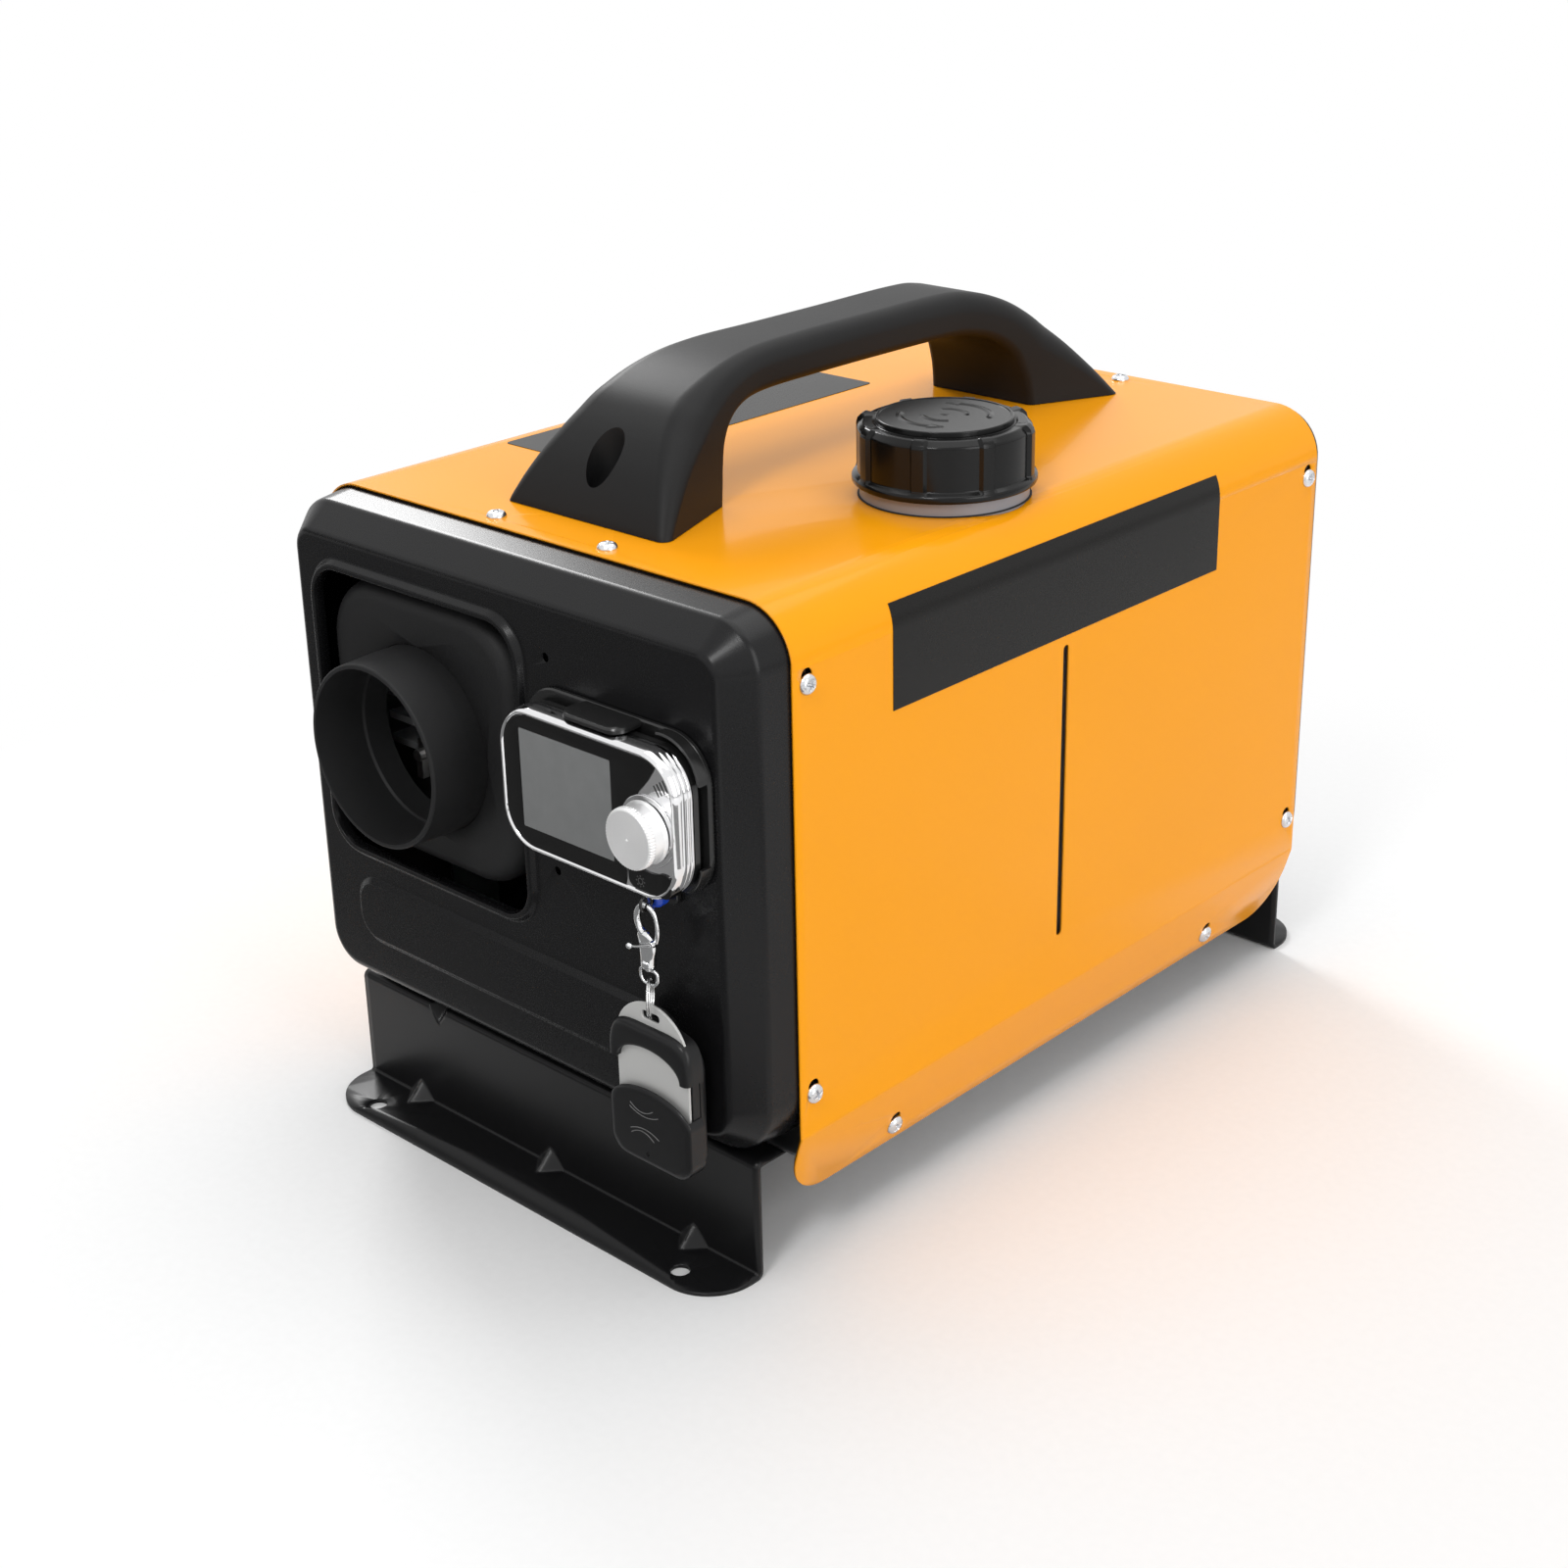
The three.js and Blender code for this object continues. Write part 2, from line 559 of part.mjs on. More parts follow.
function handleHoles() {
  return HANDLE_SCREW_Y.map((y) => rod('z', 0, y, HANDLE_SCREW_R + GAP, CASE_TOP - 5, CASE_TOP + 5, 12));
}

function carryHandle() {
  const hull = loft([
    ...HANDLE_FRONT_RUN.map(([d, height, half]) => handleSection(HANDLE_FRONT + d, height, half)),
    ...HANDLE_REAR_RUN.map(([d, height, half]) => handleSection(HANDLE_REAR - d, height, half)),
  ]);
  const floor = HANDLE_SEAT + HANDLE_WELL_FLOOR;
  const wells = HANDLE_SCREW_Y.flatMap((y) => [
    rod('z', 0, y, HANDLE_WELL_R, floor, HANDLE_SEAT + 70),
    rod('z', 0, y, HANDLE_SCREW_R + GAP, HANDLE_SEAT - 5, floor + 1, 12),
  ]);
  return cut(hull, fingerGap(), ...wells);
}

function handleScrew(y) {
  const seat = HANDLE_SEAT + HANDLE_WELL_FLOOR + GAP;
  const head = HANDLE_WELL_R - 1.5;
  const bolt = turned([
    [0, CASE_TOP - 9], [HANDLE_SCREW_R, CASE_TOP - 9], [HANDLE_SCREW_R, seat], [head, seat],
    [head, seat + 2], [head * 0.6, seat + 3.6], [0, seat + 4],
  ], 'z', 0, y, 10);
  const cross = (w, l) => box(-w, w, y - l, y + l, seat + 1.6, seat + 5);
  return cut(bolt, cross(0.5, 2.6), cross(2.6, 0.5));
}

// ---- fuel tank and filler ----
function tankBody(off) {
  const ring = (inset, z) => level(ringPoints(
    TANK.x0 + inset, TANK.x1 - inset, TANK.y0 + inset, TANK.y1 - inset,
    TANK.edge - inset * 0.7, TANK.edge - inset * 0.7, 2,
  ), z);
  const [low, high, e] = [TRAY_TOP + GAP + off, TANK.top - off, TANK.edge - off];
  return loft([
    ring(e * 0.7 + off, low), ring(e * 0.3 + off, low + e * 0.3), ring(off, low + e),
    ring(off, high - e), ring(e * 0.3 + off, high - e * 0.3), ring(e * 0.7 + off, high),
  ]);
}

function fuelTank() {
  const neck = turned([
    [0, TANK.top - 1], [NECK_R, TANK.top - 1], [NECK_R, NECK_COLLAR_TOP], [NECK_THREAD_R, NECK_COLLAR_TOP],
    [NECK_THREAD_R, NECK_TOP], [0, NECK_TOP],
  ], 'z', FILLER_X, FILLER_Y, 28);
  const bore = rod('z', FILLER_X, FILLER_Y, NECK_BORE_R, TANK.top - 2 * TANK.wall, NECK_TOP + 1, 28);
  const nozzle = sweep(disc(SPIGOT.y, SPIGOT.z, SPIGOT.r), 'x', TANK.x0 - SPIGOT.reach, TANK.x0 + 1, 1);
  const outlet = sweep(
    disc(SPIGOT.y, SPIGOT.z, SPIGOT.r / 2), 'x', TANK.x0 - SPIGOT.reach - 1, TANK.x0 + 9, 1,
  );
  return cut(join(tankBody(0), neck, nozzle), tankBody(TANK.wall), bore, outlet);
}

const SEAL_Z = CASE_TOP + GAP;

function neckSeal() {
  const inner = NECK_R + GAP;
  const top = SEAL_Z + SEAL_THICK;
  return turned([[inner, SEAL_Z], [SEAL_R, SEAL_Z], [SEAL_R - 0.6, top], [inner, top], [inner, SEAL_Z]],
    'z', FILLER_X, FILLER_Y, 28);
}

const CAP_LOW = NECK_COLLAR_TOP + GAP;
const CAP_INNER_R = NECK_THREAD_R + CAP_GRIP_GAP;
const GASKET_Z = NECK_TOP + GAP;
const CAP_CEILING = GASKET_Z + GASKET_THICK + GAP;
const CAP_TOP = CAP_CEILING + CAP_ROOF;

function fillerCap() {
  const edge = CAP_TOP - 3;
  const shell = turned([
    [CAP_INNER_R, CAP_LOW], [CAP_BEAD_R, CAP_LOW], [CAP_BEAD_R, CAP_LOW + 2.8], [CAP_R, CAP_LOW + 4.2],
    [CAP_R, edge], [CAP_R - 2.4, CAP_TOP - 0.6], [CAP_DISC_R + 1.5, CAP_TOP - 0.6],
    [CAP_DISC_R, CAP_TOP - 1.2], [CAP_DISC_R, CAP_TOP + CAP_DISC_RISE - 0.5],
    [CAP_DISC_R - 0.7, CAP_TOP + CAP_DISC_RISE], [0, CAP_TOP + CAP_DISC_RISE], [0, CAP_CEILING],
    [CAP_INNER_R, CAP_CEILING], [CAP_INNER_R, CAP_LOW],
  ], 'z', FILLER_X, FILLER_Y, 24);
  const ribs = Array.from({ length: CAP_RIBS }, (_, k) => capRib(((k + 0.5) * 2 * Math.PI) / CAP_RIBS));
  return join(shell, ...ribs);
}

function capRib(angle) {
  const [near, far, half] = [CAP_R - 1.2, CAP_R + CAP_RIB.proud, CAP_RIB.width / 2];
  const outline = [V2(near, -half), V2(far, 0.5 - half), V2(far, half - 0.5), V2(near, half)];
  const top = CAP_TOP - 1.2;
  const inward = (p, d) => V2(Math.max(p.x - d, near), p.y * (d ? 0.8 : 1));
  const rings = [[0, CAP_LOW + 2], [0, top - 2], [2.2, top]].map(([d, z]) =>
    level(outline.map((p) => inward(p, d).rotateAround(V2(0, 0), angle).add(V2(FILLER_X, FILLER_Y))), z));
  return loft(rings);
}

function capGasket() {
  const [inner, outer] = [NECK_BORE_R - 2, CAP_INNER_R - GAP];
  const top = GASKET_Z + GASKET_THICK;
  return turned([[inner, GASKET_Z], [outer, GASKET_Z], [outer, top], [inner, top], [inner, GASKET_Z]],
    'z', FILLER_X, FILLER_Y, 20);
}

// ---- duct outlet, cowl and heater case ----
const COWL_SKIN = COWL_Y + MOULDING;

function ductOutlet() {
  const behind = COWL_SKIN + GAP;
  return turned([
    [DUCT_BORE_R, RIM_Y], [RIM_R - 0.5, RIM_Y], [RIM_R, RIM_Y + 0.6],
    [DUCT_BASE_R, RIM_Y + 18], [DUCT_BASE_R, behind], [DUCT_FLANGE_R, behind], [DUCT_FLANGE_R, behind + 2],
    [DUCT_BASE_R, behind + 2], [DUCT_BASE_R, behind + 7], [DUCT_BORE_R - 0.8, behind + 7],
    [DUCT_BORE_R - 0.8, RIM_Y + 24], [DUCT_BORE_R, RIM_Y + 23], [DUCT_BORE_R, RIM_Y],
  ], 'y', DUCT_X, DUCT_Z, 28);
}

const cowlRing = (inset, y) => upright(ringPoints(
  DUCT_X - COWL_HALF + inset, DUCT_X + COWL_HALF - inset, COWL_Z0 + inset, COWL_Z1 - inset,
  COWL_R - inset, COWL_R - inset,
), y);

function cowlBody(off) {
  const e = COWL_EDGE;
  return loft([
    cowlRing(e * 0.9 + off, COWL_Y + off), cowlRing(e * 0.3 + off, COWL_Y + e * 0.3 + off),
    cowlRing(off, COWL_Y + e + off), cowlRing(off, off ? 1 : -GAP),
  ]);
}

function heaterCowl() {
  const hole = rod('y', DUCT_X, DUCT_Z, DUCT_BASE_R + GAP, COWL_Y - 1, COWL_Y + 9, 28);
  return cut(cowlBody(0), cowlBody(MOULDING), hole);
}

const SPLIT_Z = (COWL_Z0 + COWL_Z1) / 2;

function caseOutline(off, Kind) {
  return roundRect(DUCT_X - COWL_HALF + off, DUCT_X + COWL_HALF - off, COWL_Z0 + off, COWL_Z1 - off,
    COWL_R - off, Kind);
}

function heaterCaseHalf(z0, z1) {
  const wall = sweep(withHoles(caseOutline(0), caseOutline(MOULDING, THREE.Path)), 'y', 0, DUCT_CASE_END);
  const [x0, x1] = [DUCT_X - COWL_HALF - 1, DUCT_X + COWL_HALF + 1];
  return wall.intersect(box(x0, x1, -1, DUCT_CASE_END + 1, z0, z1));
}

function heaterCaseLower() {
  const nipple = sweep(
    disc(BURNER_Y, NIPPLE.z, NIPPLE.r + GAP), 'x', DUCT_X - COWL_HALF - 2, DUCT_X - CORE_R, 1,
  );
  const half = heaterCaseHalf(COWL_Z0 - 1, SPLIT_Z - GAP / 2);
  return cut(half, serviceOpening(COWL_Z0 - 5, COWL_Z0 + MOULDING + 1), nipple);
}

// ---- heat exchanger and burner ----
const CORE_REAR = CORE_FRONT + CORE_LENGTH;

function heatExchanger() {
  const reach = COWL_HALF + 3;
  const fins = [];
  for (let k = 0; k < FINS; k += 1) {
    const shift = (k - (FINS - 1) / 2) * FIN_PITCH;
    const [low, high] = [shift - FIN_THICK / 2, shift + FIN_THICK / 2];
    fins.push(box(DUCT_X - reach, DUCT_X + reach, CORE_FRONT, CORE_REAR, DUCT_Z + low, DUCT_Z + high));
    fins.push(box(DUCT_X + low, DUCT_X + high, CORE_FRONT, CORE_REAR, DUCT_Z - reach, DUCT_Z + reach));
  }
  const room = sweep(caseOutline(MOULDING + GAP), 'y', CORE_FRONT - 1, CORE_REAR + 1);
  const core = turned([
    [0, CORE_FRONT], [CORE_R - 4, CORE_FRONT], [CORE_R, CORE_FRONT + 4], [CORE_R, CORE_REAR], [0, CORE_REAR],
  ], 'y', DUCT_X, DUCT_Z, 24);
  const block = (low, high) => {
    const half = PIPE_R + 3;
    return box(DUCT_X - half, DUCT_X + half, EXHAUST_Y - half, EXHAUST_Y + half, low, high);
  };
  const boss = block(DUCT_Z - PIPE_BOSS, DUCT_Z - CORE_R + 3);
  const pipeRoom = block(COWL_Z0, DUCT_Z - PIPE_BOSS);
  const hollow = rod('y', DUCT_X, DUCT_Z, CHAMBER_R + GAP, CORE_FRONT + 6, CORE_REAR + 1, 16);
  const port = rod('z', DUCT_X, EXHAUST_Y, PIPE_BORE, DUCT_Z - PIPE_BOSS - 1, DUCT_Z - 9);
  return cut(join(core, ...fins).intersect(room).subtract(pipeRoom).add(boss), hollow, port);
}

const FLANGE_FRONT = CORE_REAR + GAP;
const FLANGE_REAR = FLANGE_FRONT + BURNER_FLANGE.thick;

function combustionChamber() {
  const inner = CHAMBER_R - CHAMBER_WALL;
  const front = EXHAUST_Y + PIPE_BORE + 4;
  const body = turned([
    [inner, front], [CHAMBER_R, front], [CHAMBER_R, FLANGE_FRONT], [BURNER_FLANGE.r, FLANGE_FRONT],
    [BURNER_FLANGE.r, FLANGE_REAR], [10, FLANGE_REAR], [10, FLANGE_REAR - 4], [inner, FLANGE_REAR - 4],
    [inner, front],
  ], 'y', DUCT_X, DUCT_Z, 16);
  const nipple = sweep(
    disc(BURNER_Y, NIPPLE.z, NIPPLE.r), 'x', DUCT_X - NIPPLE.reach, DUCT_X - CHAMBER_R - 2, 1,
  );
  const plugBore = rod('z', DUCT_X, BURNER_Y, PLUG.r + GAP, DUCT_Z + 5, DUCT_Z + BURNER_FLANGE.r + 5, 12);
  return cut(join(body, nipple), plugBore);
}

function glowPlug() {
  const seat = DUCT_Z + BURNER_FLANGE.r + GAP;
  return join(
    rod('z', DUCT_X, BURNER_Y, PLUG.r, DUCT_Z + 16, seat + 1, 12),
    rod('z', DUCT_X, BURNER_Y, PLUG.hex, seat, seat + 5, 6),
    rod('z', DUCT_X, BURNER_Y, PLUG.r - 1.5, seat + 4, seat + 10, 12),
  );
}

// ---- blower: air cup, wheel, motor, shaft and fan ----
const CUP_FRONT = FLANGE_REAR + GAP;
const CUP_REAR = CUP_FRONT + AIR_CUP.length;
const INTAKE_Y = CUP_FRONT + AIR_CUP.length / 2;
const MOTOR_FRONT = CUP_REAR + GAP;

function airCup() {
  const { r, wall } = AIR_CUP;
  const cup = turned([
    [10, CUP_FRONT], [r, CUP_FRONT], [r, CUP_REAR], [r - wall, CUP_REAR], [r - wall, CUP_FRONT + wall],
    [10, CUP_FRONT + wall], [10, CUP_FRONT],
  ], 'y', DUCT_X, DUCT_Z, 20);
  const seat = DUCT_Z - PIPE_BOSS - 1;
  const boss = rod('z', DUCT_X, INTAKE_Y, PIPE_R + 2, seat, DUCT_Z - r + 8)
    .subtract(rod('y', DUCT_X, DUCT_Z, r - wall, CUP_FRONT, CUP_REAR, 20));
  return cut(join(cup, boss), rod('z', DUCT_X, INTAKE_Y, PIPE_BORE, seat - 1, DUCT_Z - r + 9));
}

function airWheel() {
  const back = CUP_REAR - 5;
  const front = back - WHEEL.thick;
  const body = turned([
    [SHAFT_R + GAP, front], [8, front], [8, back - 2], [WHEEL.r, back - 2], [WHEEL.r, back],
    [SHAFT_R + GAP, back], [SHAFT_R + GAP, front],
  ], 'y', DUCT_X, DUCT_Z, 16);
  const blades = Array.from({ length: WHEEL.blades }, (_, k) => {
    const angle = (k * 2 * Math.PI) / WHEEL.blades;
    const spine = [0, 1, 2].map((i) => {
      const r = 12 + ((WHEEL.r - 13) * i) / 2;
      return V2(r, 0).rotateAround(V2(0, 0), angle + i * 0.24);
    });
    const side = (d) => spine.map((p) => p.clone().add(V2(-p.y, p.x).setLength(d)));
    const outline = [...side(-0.7), ...side(0.7).reverse()].map((p) => p.add(V2(DUCT_X, DUCT_Z)));
    return sweep(new THREE.Shape(outline), 'y', front, back - 1);
  });
  return join(body, ...blades);
}

function blowerMotor() {
  const rear = FAN.rear - FAN.length - MOTOR.toFan;
  const bore = SHAFT_R + GAP;
  return turned([
    [bore, MOTOR_FRONT], [AIR_CUP.r, MOTOR_FRONT], [AIR_CUP.r, MOTOR_FRONT + MOTOR.flange],
    [MOTOR.r, MOTOR_FRONT + MOTOR.flange], [MOTOR.r, rear - 3], [MOTOR.r - 3, rear],
    [9, rear], [9, rear + 4],
    [bore, rear + 4], [bore, MOTOR_FRONT],
  ], 'y', DUCT_X, DUCT_Z, 20);
}

function fanBlade(angle) {
  const [near, far, steps] = [FAN.hub - 2, FAN.r, 2];
  const middle = FAN.rear - FAN.length / 2;
  const rings = Array.from({ length: steps + 1 }, (_, i) => {
    const r = near + ((far - near) * i) / steps;
    const pitch = 0.95 - 0.5 * (i / steps);
    const chord = FAN.length * (0.55 - 0.06 * (i / steps));
    return [[-1, -1], [1, -1], [1, 1], [-1, 1]].map(([u, v]) => {
      const along = u * chord;
      const thick = v * 0.8;
      const side = along * Math.cos(pitch) - thick * Math.sin(pitch);
      const y = middle + (along * Math.sin(pitch) + thick * Math.cos(pitch)) * 0.8;
      const swing = angle + side / r;
      return V3(DUCT_X + r * Math.cos(swing), y, DUCT_Z + r * Math.sin(swing));
    });
  });
  return loft(rings);
}

function hotAirFan() {
  const front = FAN.rear - FAN.length;
  const hub = turned([
    [SHAFT_R + GAP, front], [FAN.hub, front], [FAN.hub, FAN.rear - 4], [FAN.hub - 4, FAN.rear],
    [SHAFT_R + GAP, FAN.rear], [SHAFT_R + GAP, front],
  ], 'y', DUCT_X, DUCT_Z, 16);
  const bore = rod('y', DUCT_X, DUCT_Z, SHAFT_R + GAP, front - 9, FAN.rear + 9, 16);
  const blades = Array.from({ length: FAN.blades }, (_, k) => fanBlade((k * 2 * Math.PI) / FAN.blades));
  return cut(join(hub, ...blades), bore);
}

// ---- pipes, stands, pump and lines ----
function gasPipe(y) {
  const top = DUCT_Z - PIPE_BOSS - GAP - (y === INTAKE_Y ? 1 : 0);
  return turned([
    [PIPE_BORE, PIPE_END_Z], [PIPE_R - 0.8, PIPE_END_Z], [PIPE_R, PIPE_END_Z + 3],
    [PIPE_R - 0.8, PIPE_END_Z + 6], [PIPE_R, PIPE_END_Z + 8], [PIPE_R, top], [PIPE_BORE, top],
    [PIPE_BORE, PIPE_END_Z],
  ], 'z', DUCT_X, y, 16);
}

function heaterStand(y0) {
  const [high, low, t] = [COWL_Z0 - GAP, TRAY_TOP + GAP, BRACKET_SHEET];
  const { half, foot, length } = STAND;
  const right = [V2(half, high), V2(half, low + t), V2(half + foot, low + t), V2(half + foot, low),
    V2(half - t, low), V2(half - t, high - t)];
  const left = right.map((p) => V2(-p.x, p.y)).reverse();
  const outline = [...right, ...left].map((p) => p.add(V2(DUCT_X, 0)));
  return sweep(new THREE.Shape(outline), 'y', y0, y0 + length);
}

function fuelPump() {
  const { y0, y1, r } = PUMP;
  return turned([
    [0, y0], [LINE_R, y0], [LINE_R, y0 + 12], [r - 5, y0 + 13], [r - 5, y0 + 18], [r, y0 + 19], [r, y1 - 16],
    [r - 4, y1 - 15], [r - 4, y1 - 10], [LINE_R, y1 - 9], [LINE_R, y1], [0, y1],
  ], 'y', PUMP.x, PUMP.z, 12);
}

function pumpClamp() {
  const hole = PUMP.r + GAP;
  const outer = hole + 3.5;
  const [y0, y1] = [PUMP.y0 + 28, PUMP.y0 + 48];
  const block = join(
    sweep(disc(PUMP.x, PUMP.z, outer), 'y', y0, y1),
    box(PUMP.x - outer, PUMP.x + outer, y0, y1, TRAY_TOP + GAP, PUMP.z),
  );
  return cut(block, sweep(disc(PUMP.x, PUMP.z, hole), 'y', y0 - 1, y1 + 1));
}

function supplyLine() {
  return line([
    [TANK.x0 - SPIGOT.reach - GAP, SPIGOT.y, SPIGOT.z], [TANK.x0 - SPIGOT.reach - 12, SPIGOT.y, SPIGOT.z],
    [-40, SPIGOT.y + 1, SPIGOT.z], [PUMP.x + 14, SPIGOT.y + 2, PUMP.z - 6],
    [PUMP.x + 1, PUMP.y1 + 14, PUMP.z - 1],
    [PUMP.x, PUMP.y1 + 6, PUMP.z], [PUMP.x, PUMP.y1 + GAP, PUMP.z],
  ], LINE_R, 13);
}

function feedLine() {
  const end = DUCT_X - NIPPLE.reach - GAP;
  const run = (DUCT_X - COWL_HALF + SHEET - HALF) / 2;    // between the heater and the shell
  return line([
    [PUMP.x, PUMP.y0 - GAP, PUMP.z], [PUMP.x, PUMP.y0 - 6, PUMP.z], [PUMP.x - 8, PUMP.y0 - 14, PUMP.z + 8],
    [run + 1, PUMP.y0 - 8, PUMP.z + 30], [run, PUMP.y0 + 15, PUMP.z + 62],
    [end - 6, BURNER_Y - 3, NIPPLE.z - 3], [end - 3, BURNER_Y, NIPPLE.z], [end, BURNER_Y, NIPPLE.z],
  ], LINE_R, 15);
}

// ---- electrics ----
const BOARD_Z = TRAY_TOP + STUD_HEIGHT + GAP;
const LOOM_X = BOARD.x0 + 14;
const LOOM_Y = BOARD.y1 - 12;

function controlBoard() {
  const top = BOARD_Z + BOARD.thick;
  const chip = (x, y, w, l, h) => box(x, x + w, y, y + l, top - 0.5, top + h);
  return join(
    box(BOARD.x0, BOARD.x1, BOARD.y0, BOARD.y1, BOARD_Z, top),
    chip(LOOM_X - 8, LOOM_Y - 5, 16, 10, 8), chip(BOARD.x0 + 34, BOARD.y0 + 16, 12, 12, 1.8),
    chip(BOARD.x1 - 22, BOARD.y1 - 18, 14, 9, 9), chip(BOARD.x1 - 24, BOARD.y0 + 8, 8, 8, 10),
  );
}

function wiringLoom() {
  const [low, high] = [BOARD_Z + BOARD.thick + 8 + GAP, COWL_Z0 - GAP];
  return line([
    [LOOM_X, LOOM_Y, low], [LOOM_X, LOOM_Y, low + 8], [LOOM_X + 5, LOOM_Y + 2, (low + high) / 2],
    [LOOM_X + 8, LOOM_Y, high - 8], [LOOM_X + 8, LOOM_Y, high],
  ], LOOM_R, 9);
}

function overheatSensor() {
  const back = CORE_FRONT - GAP;
  return join(
    box(SENSOR_X - 5, SENSOR_X + 5, back - 1.2, back, SENSOR_Z - 3, SENSOR_Z + 7),
    box(SENSOR_X - 1.8, SENSOR_X + 1.8, back - 5, back - 1, SENSOR_Z - 8, SENSOR_Z + 1),
    rod('y', SENSOR_X, SENSOR_Z + 2, 2.6, back - 6, back - 1, 10),
  );
}

// ---- rear fittings ----
function grilleSector(r0, r1, a0, a1) {
  const trim = (r) => GRILLE.bar / 2 / r;
  return new THREE.Path([
    ...arc(DUCT_X, DUCT_Z, r1, a0 + trim(r1), a1 - trim(r1), 3),
    ...arc(DUCT_X, DUCT_Z, r0, a1 - trim(r0), a0 + trim(r0), 2),
  ]);
}

function intakeGrille() {
  const { hole, flange, rings, spokes, bar, depth } = GRILLE;
  const r = hole - GAP;
  const hub = 9;
  const pitch = (r - bar - hub) / rings;
  const plate = disc(DUCT_X, DUCT_Z, r);
  for (let i = 0; i < rings; i += 1) {
    for (let k = 0; k < spokes; k += 1) {
      const turn = (a) => (a * 2 * Math.PI) / spokes;
      plate.holes.push(grilleSector(hub + i * pitch, hub + (i + 1) * pitch - bar, turn(k), turn(k + 1)));
    }
  }
  const guard = sweep(plate, 'y', REAR_FACE - depth, REAR_FACE + 1.5, 3);
  const lip = REAR_FACE + GAP;
  const rim = turned([
    [r - 2, lip], [flange, lip], [flange - 0.8, lip + 1.8], [r - 2, lip + 1.8], [r - 2, lip],
  ], 'y', DUCT_X, DUCT_Z, 24);
  return join(guard, rim);
}

function powerGland() {
  const { x, z, r } = GLAND;
  const seat = REAR_FACE + GAP;
  const body = turned([
    [3.5, seat - 9], [r, seat - 9], [r, seat + 5], [r - 1, seat + 9], [5.5, seat + 13], [5, seat + 15],
    [3.5, seat + 15], [3.5, seat - 9],
  ], 'y', x, z, 12);
  const nut = cut(rod('y', x, z, r + 3, seat, seat + 5, 6), rod('y', x, z, r - 1, seat - 1, seat + 6));
  return join(body, nut);
}

// ---- controller ----
const HOLDER_BACK = FRONT_FACE - GAP;
const HOLDER_FRONT = HOLDER_BACK - HOLDER_THICK;
const CTRL_BACK = HOLDER_FRONT - GAP;
const BEZEL_BACK = CTRL_BACK - CTRL.back - GAP;
const BEZEL_FRONT = BEZEL_BACK - (CTRL.deep - CTRL.back - GAP);
const ctrlRing = (inset, y) => upright(ringPoints(
  CTRL.x0 + inset, CTRL.x1 - inset, CTRL.z0 + inset, CTRL.z1 - inset, CTRL.r - inset, CTRL.r - inset, 4,
), y);

function controllerHolder() {
  const [x0, x1, z0, z1] = [CTRL.x0 - 1, CTRL.x1 + 2, CTRL.z0 - 1.5, CTRL.z1 + 3];
  const plate = sweep(roundRect(x0, x1, z0, z1, CTRL.r + 1), 'y', HOLDER_FRONT, HOLDER_BACK);
  const hook = (low, high) => sweep(
    roundRect(HOLDER_FRONT - 12, HOLDER_BACK, low, high, 0.8), 'x', CTRL.x0 + 29, CTRL.x0 + 61,
  );
  const stemY = CHAIN_Y + EYE_R + EYE_WIRE / 2;
  const stem = rod('y', CHAIN_X, EYE_Z, EYE_WIRE, stemY, HOLDER_FRONT + 0.5, 8);
  const tab = sweep(
    roundRect(CHAIN_X - 5, CHAIN_X + 5, EYE_Z - 4, CTRL.z0 + 3, 3), 'y', HOLDER_FRONT, HOLDER_BACK,
  );
  return join(plate, hook(CTRL.z1 + GAP, CTRL.z1 + 2.6), tab, stem,
    hoop(CHAIN_X, CHAIN_Y, EYE_Z, EYE_R, EYE_WIRE, true));
}

function controllerBack() {
  return loft([
    ctrlRing(0.6, BEZEL_BACK + GAP), ctrlRing(0.6, CTRL_BACK - 2), ctrlRing(3, CTRL_BACK),
  ]);
}

// The outline of the gloss face plate, less the crescent round the knob; grow widens it for its recess.
function facePlate(grow, from, to) {
  const inset = FACE_PLATE.inset - grow;
  const plate = sweep(roundRect(
    CTRL.x0 + inset, CTRL.x1 - inset, CTRL.z0 + inset, CTRL.z1 - inset, CTRL.r - inset,
  ), 'y', from, to);
  const crescent = rod('y', KNOB.x + 5, KNOB.z - 3, FACE_PLATE.crescent - grow, from - 1, to + 1, 24);
  const corner = box(KNOB.x - 9 + grow, CTRL.x1, from - 1, to + 1, CTRL.z0, KNOB.z - 10 + grow);
  return cut(plate, crescent, corner);
}

function buttonShape(grow, from, to) {
  const { x0, x1, z0, z1, r } = BUTTON;
  const body = sweep(roundRect(x0 - grow, x1 + grow, z0 - grow, z1 + grow, r + grow), 'y', from, to);
  return cut(body, rod('y', KNOB.x, KNOB.z, KNOB.r + 4 - grow, from - 1, to + 1, 24));
}

const BUTTON_BACK = BEZEL_FRONT + 5;

function controllerBezel() {
  const body = loft([
    ctrlRing(4.2, BEZEL_FRONT), ctrlRing(2.2, BEZEL_FRONT + 0.6), ctrlRing(0.6, BEZEL_FRONT + 2.6),
    ctrlRing(0, BEZEL_FRONT + 5), ctrlRing(0.6, BEZEL_BACK),
  ]);
  return cut(
    body, facePlate(GAP, BEZEL_FRONT - 1, BEZEL_FRONT + FACE_PLATE.recess + GAP),
    buttonShape(GAP, BEZEL_FRONT - 1, BUTTON_BACK + 1),
    rod('y', KNOB.x, KNOB.z, ENCODER_R + GAP, BEZEL_FRONT - 1, BEZEL_BACK + 1),
  );
}

const FACE_FRONT = BEZEL_FRONT - FACE_PLATE.proud;

